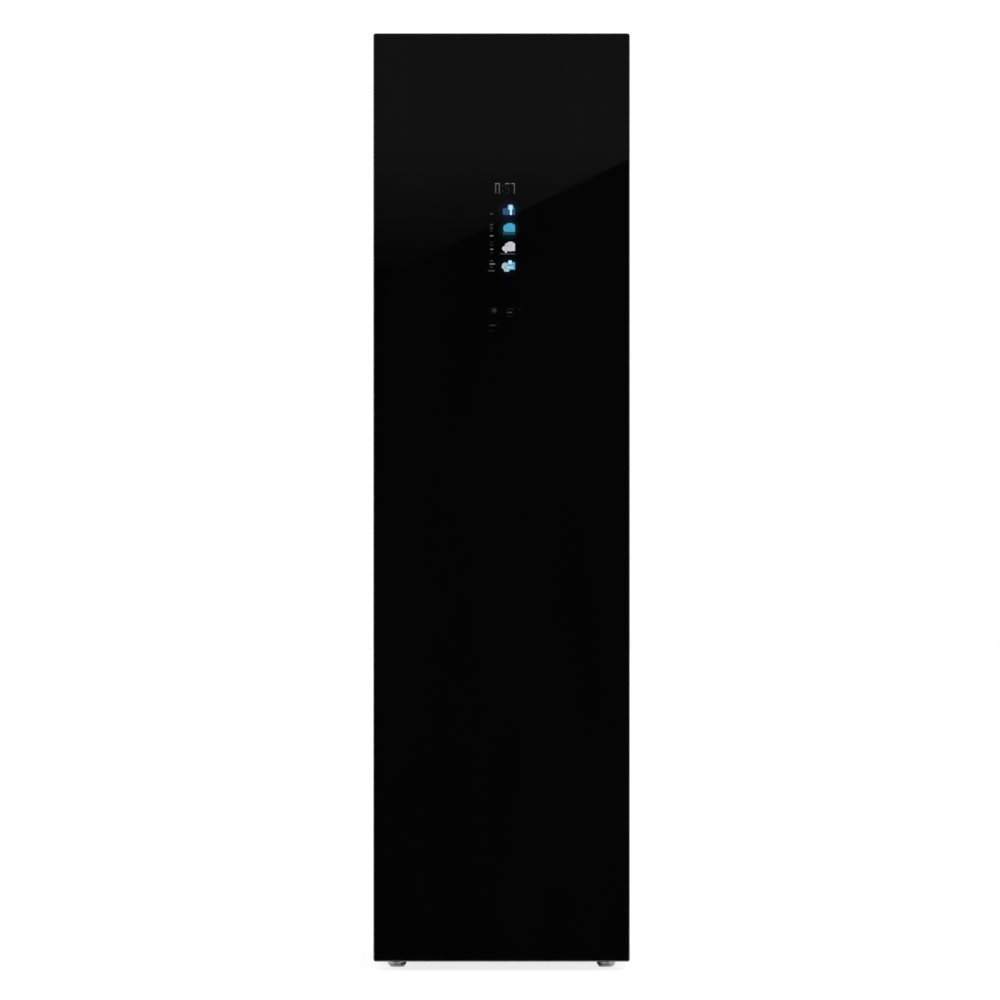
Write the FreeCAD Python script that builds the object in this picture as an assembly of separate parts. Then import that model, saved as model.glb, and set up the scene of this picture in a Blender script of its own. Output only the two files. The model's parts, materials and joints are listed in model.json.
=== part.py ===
"""Clothes care steam cabinet: a tall, free-standing steel cabinet with a glass-fronted door.

Millimetres. The origin is on the floor, under the middle of the cabinet. +Z is up, the door
faces -Y and its hinges are on the +X side. Each function builds one sub-part, and NODES at the
end names the file that each one is written to.
"""

import FreeCAD
import Part

import math
import os

from FreeCAD import Vector

X_AXIS = Vector(1, 0, 0)
Y_AXIS = Vector(0, 1, 0)
Z_AXIS = Vector(0, 0, 1)

# ---------------------------------------------------------------- overall sizes
overall_width = 506.0
overall_height = 1850.0
overall_depth = 600.0
face_gap = 0.3            # between faces of pieces that move on each other or drop into place
pin_gap = 0.08            # radial, between a pin or shaft and its bore

# ---------------------------------------------------------------- door
door_bottom = 18.0        # height of the door's lower edge over the floor
door_thickness = 56.0
door_corner = 5.0
seal_gap = 7.0            # between the door's back and the cabinet's front
frame_wall = 2.2
frame_edge_radius = 0.8      # rounding of the frame's outer front edge
frame_ledge = 15.0        # width of the ledge that the glass is bonded to
ledge_thickness = 3.0
glass_thickness = 4.0
glass_gap = 0.2
glass_arris = 0.6
door_liner_thickness = 3.0
gasket_width = 14.0
gasket_overlap = 1.0      # how far outside the cabin opening the seal's inner edge lies
dike_width = 12.0
dike_height = 20.0
dike_inset = 13.0         # from the cabin opening's edge to the dike

# ---------------------------------------------------------------- door hinges
hinge_from_side = 16.0    # pin axis to the door's side
hinge_from_back = 20.0    # pin axis to the door's back
hinge_pin_radius = 5.0
hinge_pin_length = 22.0
hinge_arm_width = 24.0
hinge_plate = 5.0
bush_wall = 3.0
bush_flange = 3.0
bush_length = 24.0
pocket_margin = 7.0       # from the arm's round end to the pocket's walls
pocket_top_depth = 18.0
pocket_bottom_depth = 12.0
corner_block = 46.0

# ---------------------------------------------------------------- door grip and display
grip_from_back = 6.0
grip_width = 35.0
grip_from_top = 720.0
grip_length = 260.0
grip_depth = 21.5
grip_wall = 2.5
display_from_top = 270.0
display_height = 335.0
display_left_x = -46.0
display_right_x = 60.0

# ---------------------------------------------------------------- cabinet shell
side_inset = 2.0          # the cabinet is this much narrower than the door, each side
cabinet_bottom = 26.0     # underside of the base pan
top_drop = 14.0           # the cabinet's top lies this much below the door's top edge
sheet = 1.0
sheet_bend = 2.0
panel_flange = 14.0
rear_standoff = 2.0       # screw heads stand this far behind the rear panel
pan_thickness = 1.5
pan_rim = 34.0
insulation_thickness = 28.0
insulation_gap = 6.0      # left free for screw points
header_depth = 60.0
liner_thickness = 3.0
liner_corner = 15.0
ceiling_plate = 3.0
shaker_space = 74.0       # from the cabin's ceiling to the cabinet's top
fascia_thickness = 3.0
fascia_slots = 17
rear_vent_rows = 12
rear_vent_pitch = 14.0
rear_vent_bottom = 190.0
rear_screw_rows = 5
rear_bead_width = 30.0    # two upright stiffening beads pressed into the rear panel
rear_bead_height = 1.6
rear_bead_margin = 90.0   # from the beads' ends to the cabin's floor and to the top panel

# ---------------------------------------------------------------- cabin floor and tanks
floor_top = 395.0
floor_thickness = 6.0
tank_depth = 104.0
tank_height = 232.0
tank_wall = 2.5
tank_corner = 14.0
tank_lid_thickness = 16.0
tank_gap = 3.2            # round a tank in its well
well_wall = 3.0
well_front = 21.0         # cabinet front to the inside of the wells
well_bottom = 153.0
tank_side_gap = 17.0      # a tank to the cabin's side wall
tanks_apart = 24.0        # between the two tanks
handle_bar = 8.0
handle_width = 90.0
handle_reach = 26.0       # pivot to the middle of the grip
handle_pin_radius = 3.0
handle_pin_length = 4.0

# ---------------------------------------------------------------- what sits in the floor, and the shelf
filter_side_shift = 3.0   # the filter's middle lies this much outside its tank's middle
filter_behind_well = 35.6
filter_margin = 9.0       # the filter is this much narrower than a tank, each end
filter_thickness = 14.0
filter_depth = 120.0
filter_flange = 6.0
intake_slots = 11
filter_columns = 4
filter_rows = 2
aroma_from_side = 69.0
aroma_behind_well = 33.6
aroma_width = 70.0
aroma_depth = 40.0
aroma_height = 60.0
cover_flange = 5.0
cover_thickness = 3.0
grille_left_x = -20.0
grille_side_gap = 13.0    # from the grille to the cabin's side wall
grille_rear_gap = 40.0    # from the grille to the cabin's back
grille_depth = 116.0
grille_slots = 13
shelf_from_front = 207.0
shelf_rear_gap = 11.0
shelf_side_gap = 5.0
shelf_thickness = 14.0
shelf_slots = 12
ledge_top = 462.0
ledge_width = 8.0
ledge_height = 10.0

# ---------------------------------------------------------------- moving hanger rail and its drive
rail_offset = 0.5         # behind the middle of the cabin's depth
rail_drop = 62.0          # below the ceiling
rail_radius = 11.0
rail_end_gap = 34.0       # from the rail's ends to the cabin's walls
rail_stroke = 14.6        # each way from the middle
hanger_pitch = 110.0
collar_radius = 15.0
collar_thickness = 3.0
post_side = 16.0
post_inset = 52.0         # from the slide bar's ends to the posts' middles
slide_bar_end_gap = 17.0  # from the slide bar's ends to the cabin's walls
slide_bar_width = 30.0
slide_bar_height = 10.0
slide_bar_lift = 11.0     # above the liner's top
bearing_length = 20.0
bearing_inset = 17.0      # from the slide bar's ends to the bearings' middles
bearing_wall = 5.0
crank_throw = 16.0
crank_pin_radius = 5.0
crank_disc_radius = 24.0
crank_disc_thickness = 5.0
yoke_side_gap = 1.2       # lets the straight coupling stand in for the crank's sine

# ---------------------------------------------------------------- hangers
hanger_end_gap = 53.5     # from the shoulder tips to the cabin's back and mouth
hanger_drop = 110.0       # rail axis to the shoulder tips
hook_section = 4.0
hook_thickness = 7.0

# ---------------------------------------------------------------- trouser press on the door
press_hinge_gap = 22.0    # from the hinge axis to the dike
press_free_gap = 36.0     # from the free edge to the dike
press_over_floor = 305.0
press_height = 760.0
press_base_thickness = 12.0
press_panel_thickness = 14.0
press_pin_radius = 4.0
press_ear = 14.0
lever_width = 38.0
lever_height = 80.0
lever_thickness = 6.0
lever_pin_radius = 2.0

# ---------------------------------------------------------------- feet
foot_from_side = 43.0
foot_from_front = 32.0
foot_from_rear = 50.0
foot_radius = 18.5
foot_pad_radius = 15.0
foot_pad_height = 3.5
foot_ring_height = 8.0
foot_grooves = 16
foot_stud_radius = 5.0
foot_stud_top = 60.0
socket_flats = 20.0
socket_height = 18.0

# ---------------------------------------------------------------- machine compartment
duct_past_grille = 10.0
duct_side_gap = 35.0
duct_behind_well = 7.6
duct_past_grille_rear = 8.0
duct_wall = 3.0
coil_bottom = 60.0
coil_height = 280.0
coil_ledge = 22.0
evaporator_from_front = 58.0
evaporator_depth = 45.0
coils_apart = 25.0
condenser_depth = 50.0
coil_grooves = 12
fan_side_shift = 7.5
fan_rear_shift = 3.0
fan_height = 190.0
fan_housing_gap = 19.0    # from the wheel to the condenser and the duct, on average
fan_width = 50.0
fan_blades = 20
fan_shaft_radius = 4.0
fan_motor_radius = 36.0
fan_motor_length = 58.0
compressor_side_gap = 32.0
compressor_fan_gap = 18.0
compressor_rear_gap = 62.0
compressor_bottom = 44.0
compressor_height = 206.0
compressor_plate_margin = 4.0
compressor_plate_thickness = 3.0
grommet_height = 12.0
grommet_radius = 10.0
pipe_radius = 4.0
pipe_bend = 20.0
generator_side_gap = 35.0
generator_duct_gap = 35.0
generator_behind_well = 45.6
generator_depth = 90.0
generator_bottom = 60.0
generator_height = 90.0
steam_inset_x = 35.0      # outlet to the boiler's inner end
steam_inset_y = 25.0      # outlet to the boiler's rear
hose_radius = 8.0
pump_side_gap = 60.0
pump_behind_well = 23.6
control_width = 240.0
control_depth = 108.0
control_height = 98.0
gland_from_side = 71.0
gland_z = 120.0
gland_bore = 4.5
gland_half = 9.0

# ---------------------------------------------------------------- planes and places that follow
door_half = overall_width / 2
front_y = -overall_depth / 2
rear_y = overall_depth / 2
glass_back_y = front_y + glass_thickness
ledge_back_y = glass_back_y + ledge_thickness
door_back_y = front_y + door_thickness
hinge_x = door_half - hinge_from_side
hinge_y = door_back_y - hinge_from_back

cabinet_half = door_half - side_inset
cabinet_front_y = door_back_y + seal_gap
cabinet_top = overall_height - top_drop
panel_front_y = cabinet_front_y + liner_thickness
panel_rear_y = rear_y - rear_standoff - sheet
inner_half = cabinet_half - sheet
inner_front_y = panel_front_y + sheet
inner_rear_y = panel_rear_y - sheet
cabin_wall = inner_half - insulation_thickness          # outside of the liner
cabin_half = cabin_wall - liner_thickness
liner_rear_y = panel_rear_y - insulation_thickness      # outside of the liner
cabin_rear_y = liner_rear_y - liner_thickness
ceiling = cabinet_top - shaker_space
liner_top = ceiling + liner_thickness
top_underside = cabinet_top - sheet
fascia_back_y = cabinet_front_y + fascia_thickness
floor_underside = floor_top - floor_thickness
pan_top = cabinet_bottom + pan_thickness

cabin_middle_y = (cabinet_front_y + cabin_rear_y) / 2

tank_width = cabin_half - tank_side_gap - tanks_apart / 2
tank_spacing = tank_width + tanks_apart                 # centre to centre
well_y0 = cabinet_front_y + well_front
tank_y0 = well_y0 + tank_gap
tank_y1 = tank_y0 + tank_depth
well_y1 = tank_y1 + tank_gap
tank_mid_y = (tank_y0 + tank_y1) / 2
tank_bottom = well_bottom + face_gap
tank_top = tank_bottom + tank_height
lid_top = tank_top + tank_lid_thickness
handle_z = lid_top - 2.0 - handle_bar / 2
handle_pivot_y = tank_mid_y + handle_reach / 2

filter_x = tank_spacing / 2 + filter_side_shift
filter_y = well_y1 + filter_behind_well
filter_width = tank_width - 2 * filter_margin
aroma_x = aroma_from_side - cabin_half
aroma_y = well_y1 + aroma_behind_well
grille_x = (grille_left_x, cabin_half - grille_side_gap)
grille_y = (cabin_rear_y - grille_rear_gap - grille_depth, cabin_rear_y - grille_rear_gap)
shelf_front_y = cabinet_front_y + shelf_from_front
shelf_depth = cabin_rear_y - shelf_rear_gap - shelf_front_y
shelf_bottom = ledge_top + face_gap

rail_y = cabin_middle_y + rail_offset
rail_z = ceiling - rail_drop
rail_length = 2 * (cabin_half - rail_end_gap)
hook_inner = rail_radius + face_gap
stations = (-hanger_pitch, 0.0, hanger_pitch)
hanger_width = cabin_rear_y - cabinet_front_y - 2 * hanger_end_gap
slide_bar_length = 2 * (cabin_half - slide_bar_end_gap)
post_spacing = slide_bar_length - 2 * post_inset
bearing_spacing = slide_bar_length - 2 * bearing_inset
slide_bar_bottom = liner_top + slide_bar_lift
slide_bar_top = slide_bar_bottom + slide_bar_height
crank_disc_bottom = slide_bar_top + 3.0
motor_bottom = crank_disc_bottom + crank_disc_thickness + 2.0

dike_half = cabin_half - dike_inset
press_axis_x = dike_half - dike_width - press_hinge_gap
press_left = press_free_gap + dike_width - dike_half
press_bottom = floor_top + press_over_floor
press_panel_y0 = door_back_y + press_base_thickness + face_gap + 0.2
press_axis_y = press_panel_y0 + press_panel_thickness / 2
press_panel_y1 = press_panel_y0 + press_panel_thickness
press_top = press_bottom + press_height
lever_y0 = press_panel_y1 + face_gap
lever_axis_y = lever_y0 + lever_thickness / 2
lever_x0 = press_left + 6.0
lever_axis_x = lever_x0 + lever_width - lever_thickness / 2
lever_z = press_bottom + press_height / 2
bush_radius = hinge_pin_radius + bush_wall
pocket_top_z = overall_height - pocket_top_depth
pocket_bottom_z = door_bottom + pocket_bottom_depth
grip_y = (door_back_y - grip_from_back - grip_width, door_back_y - grip_from_back)
grip_z = (overall_height - grip_from_top - grip_length, overall_height - grip_from_top)
display_z = (overall_height - display_from_top - display_height, overall_height - display_from_top)

foot_x = cabinet_half - foot_from_side
foot_front_y = cabinet_front_y + foot_from_front
foot_rear_y = rear_y - foot_from_rear
duct_x = (grille_x[0] - duct_past_grille, inner_half - duct_side_gap)
duct_y = (well_y1 + duct_behind_well, grille_y[1] + duct_past_grille_rear)
evaporator_y = (duct_y[0] + evaporator_from_front, duct_y[0] + evaporator_from_front + evaporator_depth)
condenser_y = (evaporator_y[1] + coils_apart, evaporator_y[1] + coils_apart + condenser_depth)
fan_centre = (sum(duct_x) / 2 + fan_side_shift, (condenser_y[1] + duct_y[1]) / 2 + fan_rear_shift, fan_height)
fan_radius = (duct_y[1] - condenser_y[1]) / 2 - fan_housing_gap
compressor_x = (compressor_side_gap - inner_half, duct_x[0] - fan_motor_length - compressor_fan_gap)
compressor_radius = (compressor_x[1] - compressor_x[0]) / 2
compressor_centre = (sum(compressor_x) / 2, inner_rear_y - compressor_rear_gap - compressor_radius)
generator_x = (generator_side_gap - inner_half, duct_x[0] - generator_duct_gap)
generator_y = (well_y1 + generator_behind_well, well_y1 + generator_behind_well + generator_depth)
generator_z = (generator_bottom, generator_bottom + generator_height)
steam_x = generator_x[1] - steam_inset_x
steam_y = generator_y[1] - steam_inset_y
pump_centre = (pump_side_gap - inner_half, well_y1 + pump_behind_well)
gland_x = gland_from_side - cabinet_half


# ---------------------------------------------------------------- shape helpers
def box(x0, x1, y0, y1, z0, z1):
    """A block between two corners."""
    return Part.makeBox(x1 - x0, y1 - y0, z1 - z0, Vector(x0, y0, z0))


def edges_along(shape, direction):
    """The straight edges of a shape that run along a direction."""
    found = []
    for edge in shape.Edges:
        if isinstance(edge.Curve, Part.Line):
            if abs(edge.tangentAt(edge.FirstParameter).dot(direction)) > 0.999:
                found.append(edge)
    return found


def rounded(x0, x1, y0, y1, z0, z1, radius, direction=Z_AXIS):
    """A block whose four edges along a direction are rounded."""
    block = box(x0, x1, y0, y1, z0, z1)
    return block.makeFillet(radius, edges_along(block, direction))


def rod(radius, start, direction, length):
    """A round bar from a point."""
    return Part.makeCylinder(radius, length, Vector(*start), direction)


def prism(points, direction):
    """A straight prism: a closed outline of points, swept along a vector."""
    outline = Part.makePolygon([Vector(*p) for p in points] + [Vector(*points[0])])
    solid = Part.Face(outline).extrude(direction)
    if solid.Volume < 0:
        solid.reverse()
    return solid


def fuse(shapes):
    """One solid from pieces that touch or overlap."""
    joined = shapes[0]
    if len(shapes) > 1:
        joined = shapes[0].fuse(shapes[1:])
    return joined.removeSplitter()


def cut(shape, tools):
    """A shape less other shapes."""
    return shape.cut(tools) if tools else shape


def mirrored(shape):
    """The same shape on the other side of the middle plane."""
    return shape.mirror(Vector(0, 0, 0), X_AXIS)


def group(shapes):
    """Several solids that share one node."""
    return Part.makeCompound(shapes)


def many_sided(sides, radius, x, y, z, height):
    """An upright prism with a regular outline."""
    points = []
    for i in range(sides):
        angle = 2 * math.pi * i / sides
        points.append((x + radius * math.cos(angle), y + radius * math.sin(angle), z))
    return prism(points, Z_AXIS * height)


def bent_tube(start, corner, end, radius, bend):
    """A round bar of two straight runs that are joined by an arc."""
    first, middle, last = Vector(*start), Vector(*corner), Vector(*end)
    way_in = (middle - first).normalize()
    way_out = (last - middle).normalize()
    turn = way_in.getAngle(way_out)
    setback = bend * math.tan(turn / 2)
    arc_start = middle - way_in * setback
    arc_end = middle + way_out * setback
    centre = middle + (way_out - way_in).normalize() * (bend / math.cos(turn / 2))
    section = Part.Face(Part.Wire([Part.Circle(arc_start, way_in, radius).toShape()]))
    elbow = section.revolve(centre, way_in.cross(way_out), math.degrees(turn))
    run_in = Part.makeCylinder(radius, (arc_start - first).Length, first, way_in)
    run_out = Part.makeCylinder(radius, (last - arc_end).Length, arc_end, way_out)
    return fuse([run_in, elbow, run_out])


# ---------------------------------------------------------------- cabinet shell
def side_panel():
    """Right side sheet with flanges bent in at the front and the back."""
    flange_x = cabinet_half - panel_flange
    outline = [
        (cabinet_half, panel_front_y),
        (cabinet_half, panel_rear_y),
        (flange_x, panel_rear_y),
        (flange_x, panel_rear_y - sheet),
        (inner_half, panel_rear_y - sheet),
        (inner_half, panel_front_y + sheet),
        (flange_x, panel_front_y + sheet),
        (flange_x, panel_front_y),
    ]
    height = top_underside - cabinet_bottom
    panel = prism([(x, y, cabinet_bottom) for x, y in outline], Z_AXIS * height)
    corners = [e for e in edges_along(panel, Z_AXIS) if abs(e.CenterOfMass.x - cabinet_half) < 0.01]
    panel = panel.makeFillet(sheet_bend, corners)
    inner = [e for e in edges_along(panel, Z_AXIS) if abs(e.CenterOfMass.x - inner_half) < 0.01]
    inner = [e for e in inner if panel_front_y < e.CenterOfMass.y < panel_rear_y - sheet / 2]
    return panel.makeFillet(sheet_bend - sheet, inner)


def top_panel():
    """Top sheet with pressed stiffening beads and holes for the hinge screws."""
    rear = rear_y - rear_standoff
    panel = rounded(-cabinet_half, cabinet_half, cabinet_front_y, rear,
                    top_underside, cabinet_top, sheet_bend)
    bead_depth = 0.4
    beads = []
    for i in range(-2, 3):
        x = i * cabinet_half / 3
        beads.append(box(x - 6, x + 6, cabinet_front_y + 130, rear - 60,
                         cabinet_top - bead_depth, cabinet_top + 1))
    holes = [rod(2.6, (x, y, top_underside - 1), Z_AXIS, 4) for x, y in hinge_screws()]
    return cut(panel, beads + holes)


def rear_screws():
    """Places of the screws that hold the rear panel, as x and z."""
    x = cabinet_half - panel_flange / 2
    low = cabinet_bottom + 40
    high = top_underside - 40
    step = (high - low) / (rear_screw_rows - 1)
    return [(side * x, low + i * step) for side in (-1, 1) for i in range(rear_screw_rows)]


def hinge_screws():
    """Places of the screws that hold the upper hinge bracket, as x and y."""
    inner_x = hinge_x - hinge_arm_width / 2 - 16
    return [(inner_x, cabinet_front_y + 24), (inner_x, cabinet_front_y + 72),
            (hinge_x, cabinet_front_y + 48)]


def rear_beads(inset, y0, y1):
    """Shape of the rear panel's two beads, drawn in by an inset."""
    half = rear_bead_width / 2 - inset
    z0 = floor_top + rear_bead_margin + inset
    z1 = top_underside - rear_bead_margin - inset
    return [rounded(x - half, x + half, y0, y1, z0, z1, half - 0.5, Y_AXIS)
            for x in (-cabin_half / 2, cabin_half / 2)]


def rear_panel():
    """Rear sheet with stiffening beads, two fields of vent slots and the hole for the supply cord's gland."""
    sheet_rear_y = panel_rear_y + sheet
    panel = box(-cabinet_half, cabinet_half, panel_rear_y, sheet_rear_y, cabinet_bottom, top_underside)
    panel = fuse([panel] + rear_beads(0, panel_rear_y + sheet / 2, sheet_rear_y + rear_bead_height))
    cutters = rear_beads(sheet, panel_rear_y - 1, panel_rear_y + rear_bead_height)
    slot_height = 5.0
    slot_length = 90.0
    for row in range(rear_vent_rows):
        z = rear_vent_bottom + row * rear_vent_pitch
        for x in (-60.0, 60.0):
            cutters.append(box(x - slot_length / 2, x + slot_length / 2, panel_rear_y - 1,
                               panel_rear_y + 2, z, z + slot_height))
    hole = gland_half + face_gap
    cutters.append(box(gland_x - hole, gland_x + hole, panel_rear_y - 1, panel_rear_y + 2,
                       gland_z - hole, gland_z + hole))
    return cut(panel, cutters)


def cabinet_screws():
    """Hexagon screws: heads on the rear panel, and whole screws in the upper hinge."""
    screws = []
    for x, z in rear_screws():
        head = many_sided(6, 4.0, x, 0, 0, rear_standoff)
        head.rotate(Vector(x, 0, 0), X_AXIS, -90)
        head.translate(Vector(0, panel_rear_y + sheet, z))
        screws.append(head)
    for x, y in hinge_screws():
        head = many_sided(6, 5.0, x, y, cabinet_top + hinge_plate, 3.0)
        shank = rod(2.4, (x, y, top_underside - 3), Z_AXIS, 3 + sheet + hinge_plate)
        screws.append(fuse([head, shank]))
    return group(screws)


def base_pan():
    """Pressed steel tray that the machinery stands on."""
    outside = rounded(-inner_half, inner_half, inner_front_y, inner_rear_y,
                      cabinet_bottom, cabinet_bottom + pan_rim, 3.0)
    inside = rounded(-inner_half + pan_thickness, inner_half - pan_thickness,
                     inner_front_y + pan_thickness, inner_rear_y - pan_thickness,
                     pan_top, cabinet_bottom + pan_rim + 1, 3.0 - pan_thickness)
    holes = [rod(foot_stud_radius + 1, (x, y, cabinet_bottom - 1), Z_AXIS, pan_thickness + 2)
             for x, y in foot_places()]
    return cut(outside, [inside] + holes)


def insulation():
    """Foam slabs at the cabin's two sides and back, and over the front of its ceiling."""
    top = top_underside - insulation_gap
    right = box(cabin_wall, inner_half, inner_front_y + sheet_bend, inner_rear_y - insulation_gap,
                floor_top, top)
    rear = box(-cabin_wall, cabin_wall, liner_rear_y, panel_rear_y, floor_top, top)
    rear = fuse([rear] + rear_beads(sheet, panel_rear_y - 1, panel_rear_y + rear_bead_height))
    header = box(-cabin_wall, cabin_wall, panel_front_y, panel_front_y + header_depth, liner_top, top)
    return group([mirrored(right), right, rear, header])


def post_slot(side, z0, z1):
    """Room for one rail post to travel, cut through the ceiling."""
    x = side * post_spacing / 2
    reach = post_side / 2 + rail_stroke + 1.4
    half = post_side / 2 + 3
    return box(x - reach, x + reach, rail_y - half, rail_y + half, z0, z1)


def cabin_liner():
    """Moulded inner shell of the cabin with its front flange, shelf ledges and back ribs."""
    def shell(x_half, y0, y1, z1, corner):
        block = box(-x_half, x_half, y0, y1, floor_top, z1)
        picked = []
        for edge in block.Edges:
            middle = edge.CenterOfMass
            at_rear, at_top = abs(middle.y - y1) < 0.01, abs(middle.z - z1) < 0.01
            at_side = abs(abs(middle.x) - x_half) < 0.01
            if (at_rear and at_side) or (at_rear and at_top) or (at_side and at_top):
                picked.append(edge)
        return block.makeFillet(corner, picked)

    outside = shell(cabin_wall, panel_front_y, liner_rear_y, liner_top, liner_corner + liner_thickness)
    inside = shell(cabin_half, cabinet_front_y - 1, cabin_rear_y, ceiling, liner_corner)
    flange = box(-cabinet_half, cabinet_half, cabinet_front_y, panel_front_y, floor_top, top_underside)
    body = fuse([outside, flange])
    body = cut(body, [inside] + [post_slot(s, ceiling - 1, liner_top + 1) for s in (-1, 1)])
    extras = []
    for side in (-1, 1):
        inner_x = side * (cabin_half - ledge_width)
        outer_x = side * (cabin_half + 1)
        ledge = prism([(inner_x, 0, ledge_top), (outer_x, 0, ledge_top),
                       (outer_x, 0, ledge_top - 2 * ledge_height), (inner_x, 0, ledge_top - ledge_height)],
                      Y_AXIS * (shelf_depth - 20))
        extras.append(ledge.translated(Vector(0, shelf_front_y + 5, 0)))
    rib_width = 14.0
    rib_height = 1.5
    for i in range(-2, 3):
        x = i * (cabin_half - 3) / 3
        extras.append(box(x - rib_width / 2, x + rib_width / 2, cabin_rear_y - rib_height, cabin_rear_y + 1,
                          ledge_top + 60, ceiling - 160))
    return fuse([body] + extras)


def lower_fascia():
    """Cover below the cabin opening with a row of vent slots."""
    plate = box(-cabinet_half, cabinet_half, cabinet_front_y, fascia_back_y, cabinet_bottom, floor_top)
    slots = []
    pitch = 22.0
    width = 12.0
    for i in range(fascia_slots):
        x = (i - (fascia_slots - 1) / 2) * pitch
        slots.append(box(x - width / 2, x + width / 2, cabinet_front_y - 1, fascia_back_y + 1,
                         cabinet_bottom + 44, cabinet_bottom + 50))
    return cut(plate, slots)


def ceiling_cover():
    """Moulded cover under the whole ceiling, with a raised field that the rail's posts pass through."""
    x_half = cabin_half - liner_corner
    y0, y1 = cabinet_front_y + 12, cabin_rear_y - liner_corner
    plate = rounded(-x_half, x_half, y0, y1, ceiling - ceiling_plate, ceiling, 10.0)
    field_half = cabin_half - 19
    field_depth = 48.0
    bottom = ceiling - ceiling_plate - 7
    field = rounded(-field_half, field_half, rail_y - field_depth, rail_y + field_depth,
                    bottom, ceiling, 20.0)
    field = field.makeChamfer(4.0, [e for e in field.Edges if abs(e.CenterOfMass.z - bottom) < 0.01])
    hollow = rounded(-field_half + 6, field_half - 6, rail_y - field_depth + 6, rail_y + field_depth - 6,
                     bottom + 2.5, ceiling + 1, 14.0)
    return cut(fuse([plate, field]), [hollow] + [post_slot(s, bottom - 1, ceiling) for s in (-1, 1)])


def cabin_lamp():
    """Light bar under the front of the ceiling."""
    top = ceiling - ceiling_plate
    half = cabin_half - 99
    return rounded(-half, half, cabinet_front_y + 22, cabinet_front_y + 44, top - 8, top, 10.0)


# ---------------------------------------------------------------- cabin floor
def well(side):
    """Inside corners of one tank well, as x0 and x1."""
    middle = side * tank_spacing / 2
    half = tank_width / 2 + tank_gap
    return middle - half, middle + half


def filter_slot():
    """The floor slot that the filter hangs in, as x0, x1, y0, y1."""
    half_x, half_y = filter_width / 2 + 1, filter_thickness / 2 + 1
    return filter_x - half_x, filter_x + half_x, filter_y - half_y, filter_y + half_y


def aroma_hole():
    """The floor hole that the aroma cartridge hangs in, as x0, x1, y0, y1."""
    half_x, half_y = aroma_width / 2 + 1, aroma_depth / 2 + 1
    return aroma_x - half_x, aroma_x + half_x, aroma_y - half_y, aroma_y + half_y


def cabin_floor():
    """Moulded floor with two tank wells, the air intake and the openings behind them."""
    plate = rounded(-inner_half, inner_half, inner_front_y, inner_rear_y, floor_underside, floor_top, 3.0)
    buckets, hollows = [], []
    for side in (-1, 1):
        x0, x1 = well(side)
        buckets.append(rounded(x0 - well_wall, x1 + well_wall, well_y0 - well_wall, well_y1 + well_wall,
                               well_bottom - well_wall, floor_top, tank_corner + well_wall))
        hollows.append(rounded(x0, x1, well_y0, well_y1, well_bottom, floor_top + 1,
                               tank_corner + 1))
    body = fuse([plate] + buckets)
    cutters = list(hollows)
    for x0, x1, y0, y1 in (filter_slot(), aroma_hole(), (*grille_x, *grille_y)):
        cutters.append(box(x0, x1, y0, y1, floor_underside - 1, floor_top + 1))
    slot_x0 = filter_slot()[0]
    pitch = (filter_width + 2) / intake_slots
    slot_y1 = filter_y - filter_thickness / 2 - 8
    for i in range(intake_slots):
        x = slot_x0 + i * pitch
        cutters.append(box(x + 3, x + pitch - 3, slot_y1 - 8, slot_y1, floor_underside - 1, floor_top + 1))
    nozzle = rod(17.0, (steam_x, steam_y, floor_top - 1), Z_AXIS, 7)
    cutters.append(rod(5.5, (steam_x, steam_y, floor_underside - 1), Z_AXIS, 40))
    return cut(fuse([body, nozzle]), cutters)


def air_grille():
    """Air outlet set in the floor, with two columns of slanted slots."""
    x0, x1 = grille_x[0] + face_gap, grille_x[1] - face_gap
    y0, y1 = grille_y[0] + face_gap, grille_y[1] - face_gap
    body = box(x0, x1, y0, y1, floor_underside, floor_top)
    top = rounded(grille_x[0] - cover_flange, grille_x[1] + cover_flange,
                  grille_y[0] - cover_flange, grille_y[1] + cover_flange,
                  floor_top, floor_top + cover_thickness, 6.0)
    whole = fuse([body, top])
    margin = 8.0
    slot_length, slot_width, lean = (x1 - x0 - 3 * margin) / 2, 4.2, 6.0
    pitch = (y1 - y0 - 12) / grille_slots
    z0, z1 = floor_underside - 1, floor_top + cover_thickness + 1
    slots = []
    for row in range(grille_slots):
        y = y0 + 6 + row * pitch
        for column in range(2):
            x = x0 + margin + column * (slot_length + margin)
            slots.append(prism([(x, y + lean, z0), (x, y + lean + slot_width, z0),
                                (x, y + slot_width, z1), (x, y, z1)], X_AXIS * slot_length))
    return cut(whole, slots)


def lint_filter():
    """Filter cassette: a framed screen under a flange with a pull tab."""
    x, y = filter_x, filter_y
    half_x, half_y = filter_width / 2, filter_thickness / 2
    bottom = floor_top - filter_depth
    frame = box(x - half_x, x + half_x, y - half_y, y + half_y, bottom, floor_top)
    rim = 8.0
    bar = 4.0
    screen = 1.2
    cell_x = (filter_width - 2 * rim - (filter_columns - 1) * bar) / filter_columns
    cell_z = (filter_depth - 2 * rim - (filter_rows - 1) * bar) / filter_rows
    windows = []
    for i in range(filter_columns):
        for j in range(filter_rows):
            wx = x - half_x + rim + i * (cell_x + bar)
            wz = bottom + rim + j * (cell_z + bar)
            windows.append(box(wx, wx + cell_x, y - half_y - 1, y - screen / 2, wz, wz + cell_z))
            windows.append(box(wx, wx + cell_x, y + screen / 2, y + half_y + 1, wz, wz + cell_z))
    flange = rounded(x - half_x - filter_flange, x + half_x + filter_flange,
                     y - half_y - filter_flange, y + half_y + filter_flange,
                     floor_top, floor_top + cover_thickness, 5.0)
    tab = rounded(x - 34, x + 34, y - 3, y + 3, floor_top, floor_top + 20, 2.5, Y_AXIS)
    return fuse([cut(frame, windows), flange, tab])


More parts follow.
